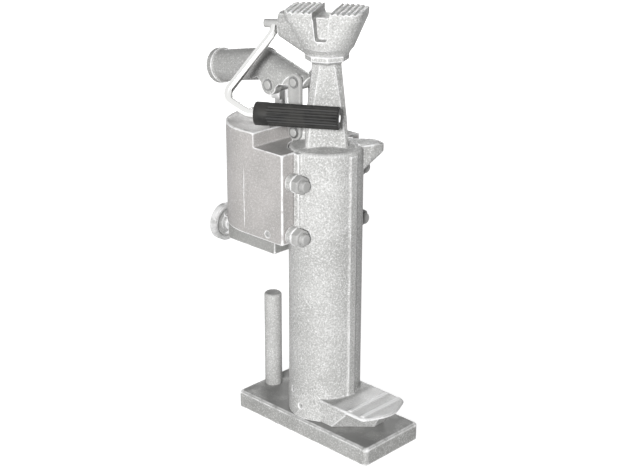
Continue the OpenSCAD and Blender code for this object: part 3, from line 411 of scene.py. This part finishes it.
@dataclass(frozen=True)
class LoadedCasting(SilverPaint):
    """Casting paint that loads have rubbed off the toe's top and its ridges. Lengths are in metres.

    Args:
        toe_start: Where the rubbed toe begins along X.
        toe_low: Height at which the rubbing begins.
        toe_ridge: Height above which only the ridges stand.
        toe_high: Height above which nothing belongs to the toe.
        start_fade: Length over which the rubbing begins along X.
        low_fade: Height over which it begins, and ends above the toe.
        ridge_fade: Height over which it grows on the ridges.
        flat_rub: How much of the paint is rubbed off between the ridges.
    """

    toe_start: float = 0.058
    toe_low: float = 0.0655
    toe_ridge: float = 0.0682
    toe_high: float = 0.074
    start_fade: float = 0.012
    low_fade: float = 0.001
    ridge_fade: float = 0.0008
    flat_rub: float = 0.6

    def build(self, material: bpy.types.Material) -> None:
        """Wires the paint, then lays the rubbed toe over its colour.

        Args:
            material: The material.
        """
        super().build(material)
        graph = Graph(material.node_tree)
        base = material.node_tree.nodes["Principled BSDF"].inputs["Base Color"]
        painted = base.links[0].from_socket
        place = graph.add("SeparateXYZ", {0: graph.here()})
        along, height = place.outputs["X"], place.outputs["Z"]
        flat = graph.times(graph.ramp(height, self.toe_low, self.toe_low + self.low_fade), self.flat_rub)
        ridge = graph.ramp(height, self.toe_ridge, self.toe_ridge + self.ridge_fade)
        toe = graph.calc("MAXIMUM", flat, ridge)
        toe = graph.times(toe, graph.ramp(height, self.toe_high, self.toe_high - self.low_fade))
        toe = graph.times(toe, graph.ramp(along, self.toe_start, self.toe_start + self.start_fade))
        graph.feed(base, graph.blend(toe, painted, self.worn_and_highlight))


@dataclass(frozen=True)
class BareMetal(Surface):
    """Turned, ground or plated metal.

    Args:
        dark: Darker tone of the metal.
        light: Lighter tone of the metal.
        roughness: Mean roughness.
        stretch: How the tool lines are squeezed along each axis.
        lines: Depth of the tool lines in metres.
        spread: How far the roughness drifts in all.
        tone_scale: Changes of tone along a metre.
        wear_and_highlight: How strongly edges are polished and given painted highlight.
        wear_and_highlight_width: Width of the polished, highlit band in metres.
        worn_and_highlight: Colour of polished edges and of the painted highlight along them.
    """

    dark: Colour
    light: Colour
    roughness: float = 0.3
    stretch: Point = (0.05, 1.0, 1.0)
    lines: float = 0.00004
    spread: float = 0.12
    tone_scale: float = 40.0
    wear_and_highlight: float = 1.5
    wear_and_highlight_width: float = 0.0006
    worn_and_highlight: Colour = (0.9, 0.9, 0.9, 1)

    def build(self, material: bpy.types.Material) -> None:
        """Wires the metal into the material: tool lines and polished edges with painted highlight over a
        drifting tone.

        Args:
            material: The material.
        """
        graph = Graph(material.node_tree)
        tone = ToneDrift().place(graph, Dark=self.dark, Light=self.light, Scale=self.tone_scale)
        lines = ToolLines().place(graph, Stretch=self.stretch)
        edges = EdgeWearAndHighlight().place(graph, Strength=self.wear_and_highlight, Width=self.wear_and_highlight_width)
        # Edges lighten: polished metal, and painted highlight along them.
        colour = graph.blend(edges.outputs["Mask"], tone.outputs["Colour"], self.worn_and_highlight)
        drift = graph.times(tone.outputs["Value"], self.spread)
        rough = graph.plus(self.roughness - self.spread / 2, drift)
        self.finish(graph, colour, rough, lines.outputs["Height"], self.lines, Metallic=1.0)


@dataclass(frozen=True)
class Moulded(Surface):
    """Moulded rubber or pressed sheet.

    Args:
        dark: Darker tone.
        light: Lighter tone, also that of scuffed edges and their painted highlight.
        roughness: Least roughness.
        grain: Depth of the surface grain in metres.
        spread: How far the roughness drifts in all.
        tone_scale: Changes of tone along a metre.
        grain_scale: Grains along a metre.
        wear_and_highlight: How strongly edges are scuffed and given painted highlight.
        wear_and_highlight_width: Width of the scuffed, highlit band in metres.
        scuff_and_highlight: How much of the lighter tone a scuffed, highlit edge shows.
        gloss: Strength of the surface's reflections.
    """

    dark: Colour
    light: Colour
    roughness: float = 0.5
    grain: float = 0.00015
    spread: float = 0.15
    tone_scale: float = 60.0
    grain_scale: float = 1200.0
    wear_and_highlight: float = 1.2
    wear_and_highlight_width: float = 0.0008
    scuff_and_highlight: float = 0.5
    gloss: float = 0.25

    def build(self, material: bpy.types.Material) -> None:
        """Wires the rubber or sheet into the material: fine grain and scuffed edges with painted highlight
        over a drifting tone.

        Args:
            material: The material.
        """
        graph = Graph(material.node_tree)
        tone = ToneDrift().place(graph, Dark=self.dark, Light=self.light, Scale=self.tone_scale)
        grain = CastGrain().place(graph, Scale=self.grain_scale)
        edges = EdgeWearAndHighlight().place(graph, Strength=self.wear_and_highlight, Width=self.wear_and_highlight_width)
        # Edges lighten: scuffed surface, and painted highlight along them.
        scuffs_and_highlights = graph.times(edges.outputs["Mask"], self.scuff_and_highlight)
        colour = graph.blend(scuffs_and_highlights, tone.outputs["Colour"], self.light)
        rough = graph.plus(self.roughness, graph.times(tone.outputs["Value"], self.spread))
        self.finish(graph, colour, rough, grain.outputs["Height"], self.grain, Specular_IOR_Level=self.gloss)


class Finish(Enum):
    """The finishes that this jack wears."""

    CASTING = SilverPaint((0.43, 0.43, 0.42, 1), (0.55, 0.55, 0.54, 1), grain=0.0008)
    BODY_CASTING = LoadedCasting((0.43, 0.43, 0.42, 1), (0.55, 0.55, 0.54, 1), grain=0.0008)
    # Much lighter than the housing paint: rubbed paint on the seam's ridge, and a painted highlight along
    # it.
    SEAM_RUB_AND_HIGHLIGHT = SilverPaint((0.72, 0.72, 0.71, 1), (0.86, 0.86, 0.85, 1), grain=0.0001, fleck=0.3, pit=0.3)
    HOUSING_CASTING = SilverPaint((0.40, 0.385, 0.375, 1), (0.49, 0.47, 0.46, 1), grain=0.0004, fleck=0.3,
                                  pit=0.25)
    FINE_CASTING = SilverPaint((0.37, 0.37, 0.365, 1), (0.46, 0.46, 0.45, 1), grain=0.0004,
                               grain_scale=520.0, fleck=0.4, pit=0.35)
    LEVER_CASTING = SilverPaint((0.30, 0.30, 0.295, 1), (0.40, 0.40, 0.39, 1), grain=0.0004,
                                grain_scale=450.0, fleck=0.4, pit=0.3)
    BLOCK_CASTING = SilverPaint((0.25, 0.25, 0.24, 1), (0.34, 0.34, 0.33, 1), grain=0.0003, fleck=0.2,
                                pit=0.3, wear_and_highlight=3.0)
    PLATE_STEEL = SilverPaint((0.30, 0.30, 0.29, 1), (0.39, 0.39, 0.38, 1), grain=0.0004,
                              grain_scale=450.0, dirt_and_shade=1.0, fleck=0.5, pit=0.5)
    PAINTED_STEEL = SilverPaint(grain=0.0004, grain_scale=450.0, dirt_and_shade=1.0, fleck=0.5, pit=0.4,
                                wear_and_highlight_width=0.001, ridges=0.0)
    PAINTED_HARDWARE = SilverPaint((0.36, 0.36, 0.355, 1), (0.46, 0.46, 0.45, 1), grain=0.0001,
                                   grain_scale=900.0, dirt_and_shade=0.4, wear_and_highlight=6.0, wear_and_highlight_width=0.0007, ridges=0.0,
                                   fleck=0.2, pit=0.15, roughness=0.34)
    GROUND_STEEL = BareMetal((0.50, 0.50, 0.50, 1), (0.62, 0.62, 0.62, 1), 0.24, (1.0, 1.0, 0.05))
    POLISHED_STEEL = BareMetal((0.78, 0.78, 0.78, 1), (0.9, 0.9, 0.9, 1), 0.38, (1.0, 1.0, 0.05))
    PLATED_ROD = BareMetal((0.32, 0.32, 0.31, 1), (0.48, 0.48, 0.47, 1), 0.26, (0.3, 0.3, 0.3), 0.00002)
    DARK_STEEL = BareMetal((0.14, 0.14, 0.14, 1), (0.26, 0.26, 0.26, 1), 0.42)
    BRONZE = BareMetal((0.45, 0.31, 0.14, 1), (0.62, 0.44, 0.22, 1), 0.34)
    COPPER = BareMetal((0.46, 0.22, 0.12, 1), (0.62, 0.34, 0.20, 1), 0.32)
    GRIP_RUBBER = Moulded((0.012, 0.012, 0.012, 1), (0.035, 0.034, 0.032, 1), 0.48)
    SEAL_RUBBER = Moulded((0.015, 0.015, 0.015, 1), (0.03, 0.03, 0.03, 1), 0.6)
    GASKET_SHEET = Moulded((0.03, 0.028, 0.025, 1), (0.06, 0.055, 0.05, 1), 0.8, 0.00025)

    def material(self) -> bpy.types.Material:
        """Makes this finish's material when it is first asked for.

        Returns:
            The material.
        """
        name = self.name.lower()
        made = bpy.data.materials.get(name)
        if made is None:
            made = bpy.data.materials.new(name)
            made.use_nodes = True
            self.value.build(made)
        return made


# ---------------------------------------------------------------- mesh work


class Shaper:
    """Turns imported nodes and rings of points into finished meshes."""

    weld: float = 0.000002
    flat_angle: float = 0.004
    bevel_from: float = math.radians(32)
    crease_from: float = math.radians(38)
    tube_crease: float = math.radians(40)
    bevel_segments: int = 2

    @staticmethod
    def link(name: str, mesh: bpy.types.Mesh) -> bpy.types.Object:
        """Links a mesh into the scene as a named object.

        Args:
            name: The name of the object and the mesh.
            mesh: The mesh.

        Returns:
            The new object.
        """
        mesh.name = name
        made = bpy.data.objects.new(name, mesh)
        bpy.context.scene.collection.objects.link(made)
        return made

    @classmethod
    def bare_copy(cls, node: str) -> bpy.types.Mesh:
        """Copies a node's mesh with its split corners joined.

        Args:
            node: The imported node.

        Returns:
            A new closed mesh.
        """
        work = bmesh.new()
        work.from_mesh(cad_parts[node].data)
        bmesh.ops.remove_doubles(work, verts=work.verts, dist=cls.weld)
        bmesh.ops.recalc_face_normals(work, faces=work.faces)
        mesh = bpy.data.meshes.new(node + "_work")
        work.to_mesh(mesh)
        work.free()
        for name in [layer.name for layer in mesh.uv_layers]:
            mesh.uv_layers.remove(mesh.uv_layers[name])
        return mesh

    @staticmethod
    def settle(piece: bpy.types.Object) -> None:
        """Applies a piece's modifiers to its mesh.

        Args:
            piece: The piece.
        """
        bpy.context.view_layer.update()
        shaped = piece.evaluated_get(bpy.context.evaluated_depsgraph_get())
        mesh = bpy.data.meshes.new_from_object(shaped)
        old = piece.data
        piece.modifiers.clear()
        piece.data = mesh
        bpy.data.meshes.remove(old)

    @classmethod
    def cast(cls, node: str, name: str, grid: float, softening: int, keep: float) -> bpy.types.Object:
        """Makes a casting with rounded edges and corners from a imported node.

        Args:
            node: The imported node.
            name: The new piece's name.
            grid: The mesh's grid in metres.
            softening: Rounds of smoothing.
            keep: Share of the faces that is kept.

        Returns:
            The new piece.
        """
        piece = cls.link(name, cls.bare_copy(node))
        skin = piece.modifiers.new("skin", "REMESH")
        skin.mode, skin.voxel_size = "VOXEL", grid
        soften = piece.modifiers.new("soften", "SMOOTH")
        soften.factor, soften.iterations = 0.5, softening
        thin = piece.modifiers.new("thin", "DECIMATE")
        thin.ratio = keep
        cls.settle(piece)
        piece.data.shade_smooth()
        return piece

    @classmethod
    def turned(cls, node: str, name: str, edge: float) -> bpy.types.Object:
        """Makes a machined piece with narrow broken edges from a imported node.

        Args:
            node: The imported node.
            name: The new piece's name.
            edge: Width of the broken edges in metres.

        Returns:
            The new piece.
        """
        mesh = cls.bare_copy(node)
        work = bmesh.new()
        work.from_mesh(mesh)
        bmesh.ops.dissolve_limit(work, angle_limit=cls.flat_angle, verts=work.verts, edges=work.edges)
        work.to_mesh(mesh)
        work.free()
        piece = cls.link(name, mesh)
        bevel = piece.modifiers.new("edges", "BEVEL")
        bevel.width, bevel.segments = edge, cls.bevel_segments
        bevel.limit_method, bevel.angle_limit = "ANGLE", cls.bevel_from
        cls.settle(piece)
        piece.data.shade_smooth()
        piece.data.set_sharp_from_angle(angle=cls.crease_from)
        return piece

    @classmethod
    def loft(cls, name: str, loops: list[list[Any]], crease: float, capped: bool) -> bpy.types.Object:
        """Skins closed loops of points.

        Args:
            name: The piece's name.
            loops: The loops in order, all with as many points.
            crease: Angle in radians from which an edge stays sharp.
            capped: Whether each end is closed by a face. If not, the last loop joins the first.

        Returns:
            The new piece.
        """
        work = bmesh.new()
        made = [[work.verts.new(point) for point in loop] for loop in loops]
        for lower, upper in zip(made, made[1:] if capped else made[1:] + made[:1]):
            for k in range(len(lower)):
                after = (k + 1) % len(lower)
                work.faces.new((lower[k], lower[after], upper[after], upper[k]))
        if capped:
            work.faces.new(list(reversed(made[0])))
            work.faces.new(made[-1])
        bmesh.ops.recalc_face_normals(work, faces=work.faces)
        mesh = bpy.data.meshes.new(name)
        work.to_mesh(mesh)
        work.free()
        piece = cls.link(name, mesh)
        piece.data.shade_smooth()
        piece.data.set_sharp_from_angle(angle=crease)
        return piece

    @classmethod
    def tube(cls, name: str, rings: list[tuple[Vector, Vector, Vector, float]],
             sides: int) -> bpy.types.Object:
        """Makes a closed tube through rings.

        Args:
            name: The piece's name.
            rings: Centre, two unit directions across and radius of each ring.
            sides: Sides of the tube.

        Returns:
            The new piece.
        """
        turns = [2 * math.pi * k / sides for k in range(sides)]
        loops = [[centre + radius * (math.cos(a) * first + math.sin(a) * second) for a in turns]
                 for centre, first, second, radius in rings]
        return cls.loft(name, loops, cls.tube_crease, True)


def dress(piece: bpy.types.Object, finish: Finish, body: str, slot: str, *nodes: str) -> None:
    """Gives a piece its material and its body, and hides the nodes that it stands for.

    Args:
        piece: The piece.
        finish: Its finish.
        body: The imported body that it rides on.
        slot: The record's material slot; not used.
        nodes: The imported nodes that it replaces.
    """
    piece.data.materials.clear()
    piece.data.materials.append(finish.material())
    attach(piece, body)
    if nodes:
        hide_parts(*nodes)
    log.info("%s: %d faces, %s", piece.name, len(piece.data.polygons), finish.name.lower())


def finish_nodes(finish: Finish, *nodes: str) -> None:
    """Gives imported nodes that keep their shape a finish.

    Args:
        finish: The finish.
        nodes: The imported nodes.
    """
    for node in nodes:
        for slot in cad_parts[node].material_slots:
            slot.link = "OBJECT"
            slot.material = finish.material()
        log.info("%s keeps its shape, %s", node, finish.name.lower())


# ---------------------------------------------------------------- sub-assemblies


class Unit(ABC):
    """A sub-assembly of the jack."""

    @abstractmethod
    def build(self) -> None:
        """Builds and dresses the unit's pieces."""


@dataclass
class BaseUnit(Unit):
    """Base plate, its post and the ram that stands on it."""

    plate_grid: float = 1.5 * MM
    post_edge: float = 0.5 * MM
    body: str = "base"

    def build(self) -> None:
        """Builds and dresses the base."""
        plate = Shaper.cast("base_plate", "forged_plate", self.plate_grid, 1, 0.35)
        dress(plate, Finish.PLATE_STEEL, self.body, "silver_paint", "base_plate")
        post = Shaper.turned("base_post", "round_post", self.post_edge)
        dress(post, Finish.PAINTED_STEEL, self.body, "silver_paint", "base_post")
        finish_nodes(Finish.GROUND_STEEL, "ram", "piston")
        finish_nodes(Finish.DARK_STEEL, "ram_lock_screw", "piston_screw")
        finish_nodes(Finish.SEAL_RUBBER, "piston_seal")


@dataclass
class BodyUnit(Unit):
    """Rising body: the tall casting and what is inside it."""

    grid: float = 1.2 * MM
    body: str = "jack_body"

    def build(self) -> None:
        """Builds and dresses the body casting and its inner pieces."""
        shell = Shaper.cast("body_casting", "body_shell", self.grid, 2, 0.3)
        dress(shell, Finish.BODY_CASTING, self.body, "silver_paint", "body_casting")
        finish_nodes(Finish.GROUND_STEEL, "cylinder_liner")
        finish_nodes(Finish.BRONZE, "guide_bush")
        finish_nodes(Finish.SEAL_RUBBER, "wiper_ring")
        finish_nodes(Finish.PAINTED_HARDWARE, "lock_screws")


@dataclass
class PumpUnit(Unit):
    """Pump housing with its seam, fasteners, block, valves and release knob.

    The seam's sizes are in millimetres.
    """

    housing_grid: float = 1.5 * MM
    block_grid: float = 1.2 * MM
    hardware_edge: float = 0.25 * MM
    knob_edge: float = 0.8 * MM
    spindle_edge: float = 0.3 * MM
    seam_x: float = -91.2
    seam_y: float = -83.0
    seam_low: float = 327.0
    seam_high: float = 424.0
    seam_r: float = 0.6
    seam_sink: float = 0.2
    seam_tip: float = 0.25
    seam_taper: float = 8.0
    seam_steps: int = 60
    seam_sides: int = 10
    # Reach, rate and phase of each wave of the seam's line, then reach and rate of its thickness
    seam_waves: tuple[Point, ...] = ((0.25, 9, 0), (0.12, 31, 1))
    seam_swell: tuple[float, float] = (0.15, 47)
    body: str = "jack_body"

    def seam(self) -> bpy.types.Object:
        """Builds the thin line that the mould's parting left on the housing's near side.

        Returns:
            The new piece.
        """
        reach, rate = self.seam_swell
        rings = []
        for k in range(self.seam_steps + 1):
            share = k / self.seam_steps
            sway = sum(size * math.sin(turns * share + phase) for size, turns, phase in self.seam_waves)
            full = min(1.0, self.seam_taper * share, self.seam_taper * (1 - share))
            radius = self.seam_r * (self.seam_tip + (1 - self.seam_tip) * full)
            radius = radius * (1 + reach * math.sin(rate * share))
            height = self.seam_low + (self.seam_high - self.seam_low) * share
            centre = Vector((self.seam_x + sway, self.seam_y + self.seam_sink, height))
            rings.append((centre * MM, Vector((1, 0, 0)), Vector((0, 1, 0)), radius * MM))
        return Shaper.tube("parting_seam", rings, self.seam_sides)

    def build(self) -> None:
        """Builds and dresses the pump side of the jack."""
        # The seam's far lighter paint is rubbed paint on its ridge and a painted highlight along it.
        dress(self.seam(), Finish.SEAM_RUB_AND_HIGHLIGHT, self.body, "silver_paint")
        housing = Shaper.cast("pump_housing", "pump_casing", self.housing_grid, 2, 0.35)
        dress(housing, Finish.HOUSING_CASTING, self.body, "silver_paint", "pump_housing")
        block = Shaper.cast("pump_block", "valve_block", self.block_grid, 2, 0.35)
        dress(block, Finish.BLOCK_CASTING, self.body, "silver_paint", "pump_block")
        for node in ("housing_studs", "housing_nuts", "filler_plug", "level_plug", "plunger_gland",
                     "release_gland"):
            piece = Shaper.turned(node, node + "_dressed", self.hardware_edge)
            dress(piece, Finish.PAINTED_HARDWARE, self.body, "silver_paint", node)
        finish_nodes(Finish.GASKET_SHEET, "housing_gasket", "block_gasket")
        finish_nodes(Finish.GROUND_STEEL, "pump_cylinder", "valve_balls")
        finish_nodes(Finish.COPPER, "delivery_pipe")
        finish_nodes(Finish.DARK_STEEL, "block_screws", "valve_springs", "valve_plugs")
        finish_nodes(Finish.SEAL_RUBBER, "plunger_seal")
        knob = Shaper.turned("release_knob", "hand_knob", self.knob_edge)
        dress(knob, Finish.FINE_CASTING, "release", "silver_paint", "release_knob")
        spindle = Shaper.turned("release_spindle", "knob_spindle", self.spindle_edge)
        dress(spindle, Finish.GROUND_STEEL, "release", "bright_steel", "release_spindle")
        finish_nodes(Finish.DARK_STEEL, "knob_pin")


@dataclass
class LeverUnit(Unit):
    """Lever socket, side plates, pins and the plunger that the lever works."""

    socket_grid: float = 0.9 * MM
    plate_edge: float = 0.7 * MM
    pin_edge: float = 0.3 * MM

    def build(self) -> None:
        """Builds and dresses the lever and its pins."""
        lever = Shaper.cast("lever_socket", "lever_casting", self.socket_grid, 1, 0.4)
        dress(lever, Finish.LEVER_CASTING, "lever", "silver_paint", "lever_socket")
        for node in ("side_plate_near", "side_plate_far"):
            plate = Shaper.turned(node, node + "_dressed", self.plate_edge)
            dress(plate, Finish.PAINTED_HARDWARE, "jack_body", "silver_paint", node)
        riders = {"fulcrum_pin": "jack_body", "link_pin": "jack_body", "plunger_pin": "lever"}
        for node, body in riders.items():
            pin = Shaper.turned(node, node + "_dressed", self.pin_edge)
            dress(pin, Finish.PAINTED_HARDWARE, body, "silver_paint", node)
        plunger = Shaper.turned("pump_plunger", "plunger_rod", self.pin_edge)
        dress(plunger, Finish.POLISHED_STEEL, "plunger", "bright_steel", "pump_plunger")
        finish_nodes(Finish.DARK_STEEL, "plate_clips", "plunger_clips")


@dataclass
class CapUnit(Unit):
    """Load cap on top of the column."""

    grid: float = 0.9 * MM

    def build(self) -> None:
        """Builds and dresses the load cap."""
        cap = Shaper.cast("load_cap", "jaw_cap", self.grid, 2, 0.5)
        dress(cap, Finish.CASTING, "load_cap", "silver_paint", "load_cap")
        finish_nodes(Finish.DARK_STEEL, "cap_screw", "pivot_lock_pin")


@dataclass
class HandleUnit(Unit):
    """Bent carrying handle: pivot bar, rod and ribbed grip.

    Lengths are in millimetres and angles in degrees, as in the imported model.
    """

    turn: float = 31.0
    tilt: float = 24.0
    pivot_z: float = 637.6
    rod_d: float = 12.7
    rod_join: float = -76.6
    rod_start: float = 3.0
    rod_sides: int = 40
    drop: float = 132.2
    neck_len: float = 10.6
    neck_lean: float = 9.0
    neck_r: float = 20.0
    leg_lean: float = 33.7
    knee_r: float = 16.0
    sole_lean: float = -62.0
    sole_len: float = 19.7
    heel_r: float = 26.0
    grip_lean: float = -90.0
    end_gap: float = 0.2
    end_chamfer: float = 1.0
    grip_right: float = 31.6
    grip_len: float = 124.5
    grip_d: float = 34.0
    bore_play: float = 0.05
    ribs: int = 20
    rib_steps: int = 8
    groove: float = 1.5
    groove_power: float = 2.2
    grip_crease: float = 50.0
    steps: int = 16
    pivot_edge: float = 0.3 * MM
    place: Matrix = field(init=False)

    def __post_init__(self) -> None:
        """Works out where the handle's own frame lies in the jack's frame."""
        turn = Matrix.Rotation(math.radians(self.turn), 4, "Z")
        tilt = Matrix.Rotation(math.radians(-self.tilt), 4, "X")
        self.place = Matrix.Translation((0, 0, self.pivot_z * MM)) @ turn @ tilt

    def bend(self, path: list[Point], run: float, radius: float, lean: float) -> None:
        """Adds a straight run and a bend to the rod's path.

        Args:
            path: Points of the path as x, z and lean.
            run: Length of the straight run.
            radius: Bend radius.
            lean: Lean after the bend.
        """
        x, z, start = path[-1]
        a = math.radians(start)
        x, z = x - run * math.sin(a), z - run * math.cos(a)
        sign = 1 if lean > start else -1
        for k in range(self.steps + 1):
            t = math.radians(start + (lean - start) * k / self.steps)
            along = x + sign * radius * (math.cos(t) - math.cos(a))
            path.append((along, z - sign * radius * (math.sin(t) - math.sin(a)), math.degrees(t)))

    def rod(self) -> bpy.types.Object:
        """Builds the bent rod, whose leg takes what the bends leave of the handle's drop.

        Returns:
            The new piece.
        """
        leans = [math.radians(v) for v in (self.neck_lean, self.leg_lean, self.sole_lean, self.grip_lean)]
        radii = (self.neck_r, self.knee_r, self.heel_r)
        drops = [r * abs(math.sin(a) - math.sin(b)) for r, a, b in zip(radii, leans, leans[1:])]
        straight = self.neck_len * math.cos(leans[0]) + self.sole_len * math.cos(leans[2])
        leg = (self.drop - straight - sum(drops)) / math.cos(leans[1])
        start, end = self.rod_start, self.grip_right - self.end_gap
        path = [(self.rod_join - start * math.sin(leans[0]), -start * math.cos(leans[0]), self.neck_lean)]
        self.bend(path, self.neck_len - start, self.neck_r, self.leg_lean)
        self.bend(path, leg, self.knee_r, self.sole_lean)
        self.bend(path, self.sole_len, self.heel_r, self.grip_lean)
        path += [(x, -self.drop, self.grip_lean) for x in (end - self.end_chamfer, end)]
        rings = []
        for k, (x, z, angle) in enumerate(path):
            a = math.radians(angle)
            radius = (self.rod_d / 2 - (self.end_chamfer if k == len(path) - 1 else 0.0)) * MM
            across = Vector((math.cos(a), 0, -math.sin(a)))
            rings.append((Vector((x, 0, z)) * MM, across, Vector((0, 1, 0)), radius))
        return Shaper.tube("bent_rod", rings, self.rod_sides)

    def grip(self) -> bpy.types.Object:
        """Builds the ribbed grip with its smooth collar and soft ends.

        Returns:
            The new piece.
        """
        right, left = self.grip_right, self.grip_right - self.grip_len
        sides = self.ribs * self.rib_steps
        outer = self.grip_d / 2
        bore = self.rod_d / 2 + self.bore_play
        # Each station is x, radius and depth of the grooves between the ribs
        stations = [(left + 0.3, bore, 0.0), (left, bore + 0.5, 0.0), (left, outer - 2.0, 0.0),
                    (left + 0.6, outer - 0.6, 0.0), (left + 2.0, outer, 0.0), (left + 18.0, outer, 0.0),
                    (left + 20.0, outer - 0.4, 0.3), (left + 22.0, outer - 0.3, self.groove),
                    (right - 2.5, outer - 0.3, self.groove), (right - 0.8, outer - 1.0, 1.3),
                    (right, outer - 2.6, 0.2), (right, bore + 0.5, 0.0), (right - 0.3, bore, 0.0)]
        loops = []
        for x, radius, groove in stations:
            loop = []
            for k in range(sides):
                a = 2 * math.pi * k / sides
                dip = (0.5 - 0.5 * math.cos(a * self.ribs)) ** self.groove_power
                r = (radius - groove * dip) * MM
                loop.append((x * MM, r * math.cos(a), r * math.sin(a) - self.drop * MM))
            loops.append(loop)
        return Shaper.loft("ribbed_grip", loops, math.radians(self.grip_crease), False)

    def build(self) -> None:
        """Builds and dresses the handle."""
        rod, grip = self.rod(), self.grip()
        for piece in (rod, grip):
            piece.data.transform(self.place)
        dress(rod, Finish.PLATED_ROD, "handle", "plated_rod", "handle_rod")
        dress(grip, Finish.GRIP_RUBBER, "handle", "black_rubber", "handle_grip")
        pivot = Shaper.turned("handle_pivot", "pivot_bar", self.pivot_edge)
        dress(pivot, Finish.PAINTED_HARDWARE, "handle", "bright_steel", "handle_pivot")


# ---------------------------------------------------------------- studio


@dataclass(frozen=True)
class Lamp:
    """One soft square lamp: name, place, side in metres and power in watts."""

    name: str
    place: Point
    size: float
    power: float

    def hang(self, target: Vector) -> None:
        """Adds the lamp to the scene.

        Args:
            target: The point that it faces.
        """
        data = bpy.data.lights.new(self.name, "AREA")
        data.size, data.energy = self.size, self.power
        made = bpy.data.objects.new(self.name, data)
        made.location = self.place
        made.rotation_euler = (target - Vector(self.place)).to_track_quat("-Z", "Y").to_euler()
        bpy.context.scene.collection.objects.link(made)


@dataclass
class Studio:
    """Pale floor, soft lights and the camera at the photograph's view. Angles are in degrees."""

    spot: Point = (1.2972, -1.3614, 1.0256)
    azimuth: float = 44.23
    pitch: float = 20.61
    roll: float = 0.14
    focal_px: float = 1324.8
    width_px: float = 625.0
    sensor: float = 36.0
    target: Point = (0, 0, 0.33)
    lamps: tuple[Lamp, ...] = (
        Lamp("key_lamp", (3.15, -4.75, 2.18), 1.0, 430.0),
        Lamp("back_lamp", (-3.0, 3.6, 1.1), 2.0, 120.0),
    )
    ambient: float = 0.08
    floor_half: float = 9.0
    floor_tone: Colour = (0.48, 0.48, 0.48, 1)
    floor_roughness: float = 0.9
    floor_gloss: float = 0.1
    # The floor shows this much white up to glow_near from the jack, and all of it from glow_far on
    glow: float = 0.9
    glow_near: float = 1.0
    glow_far: float = 3.5

    def camera(self) -> None:
        """Makes the camera."""
        a, p, r = (math.radians(v) for v in (self.azimuth, self.pitch, self.roll))
        look = Vector((-math.sin(a) * math.cos(p), math.cos(a) * math.cos(p), -math.sin(p)))
        right = Vector((math.cos(a), math.sin(a), 0))
        up = right.cross(look)
        right, up = right * math.cos(r) + up * math.sin(r), up * math.cos(r) - right * math.sin(r)
        data = bpy.data.cameras.new("photo_camera")
        data.sensor_width = self.sensor
        data.lens = self.sensor * self.focal_px / self.width_px
        data.clip_start, data.clip_end = 0.05, 60.0
        made = bpy.data.objects.new("photo_camera", data)
        made.matrix_world = Matrix.Translation(self.spot) @ Matrix((right, up, -look)).transposed().to_4x4()
        bpy.context.scene.collection.objects.link(made)
        bpy.context.scene.camera = made

    def floor(self) -> None:
        """Lays the pale floor. What it glows reaches the camera and mirrors, and lights nothing."""
        half = self.floor_half
        mesh = bpy.data.meshes.new("pale_floor")
        mesh.from_pydata([(-half, -half, 0), (half, -half, 0), (half, half, 0), (-half, half, 0)], [],
                         [(0, 1, 2, 3)])
        floor = Shaper.link("pale_floor", mesh)
        material = bpy.data.materials.new("pale_floor")
        material.use_nodes = True
        graph = Graph(material.node_tree)
        shader, result = (graph.tree.nodes[name] for name in ("Principled BSDF", "Material Output"))
        shader.inputs["Base Color"].default_value = self.floor_tone
        shader.inputs["Roughness"].default_value = self.floor_roughness
        shader.inputs["Specular IOR Level"].default_value = self.floor_gloss
        away = graph.add("VectorMath", {0: graph.here()}, operation="LENGTH").outputs["Value"]
        level = {"Value": away, "From Min": self.glow_near, "From Max": self.glow_far, "To Min": self.glow,
                 "To Max": 1.0}
        strength = graph.times(graph.seen(), graph.add("MapRange", level).outputs["Result"])
        glow = graph.add("Emission", {"Color": WHITE, "Strength": strength})
        both = graph.add("AddShader", {0: shader.outputs[0], 1: glow.outputs[0]})
        graph.feed(result.inputs["Surface"], both.outputs[0])
        floor.data.materials.append(material)

    def world(self) -> None:
        """Fills the surroundings with even light and a white view."""
        world = bpy.data.worlds.new("studio")
        bpy.context.scene.world = world
        world.use_nodes = True
        graph = Graph(world.node_tree)
        level = graph.add("MapRange", {"Value": graph.seen(), "To Min": self.ambient, "To Max": 1.0})
        back = graph.tree.nodes["Background"]
        graph.feed(back.inputs["Color"], WHITE)
        graph.feed(back.inputs["Strength"], level.outputs["Result"])

    def build(self) -> None:
        """Builds the studio round the jack."""
        self.camera()
        self.floor()
        self.world()
        for lamp in self.lamps:
            lamp.hang(Vector(self.target))
        bpy.context.scene.view_settings.view_transform = "Standard"


def main() -> None:
    """Builds the studio, then the jack unit by unit."""
    logging.basicConfig(level=logging.INFO, format="%(message)s")
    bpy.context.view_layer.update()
    Studio().build()
    for unit in (BaseUnit(), BodyUnit(), PumpUnit(), LeverUnit(), CapUnit(), HandleUnit()):
        unit.build()
        log.info("%s done", type(unit).__name__)


if __name__ == "__main__":
    main()
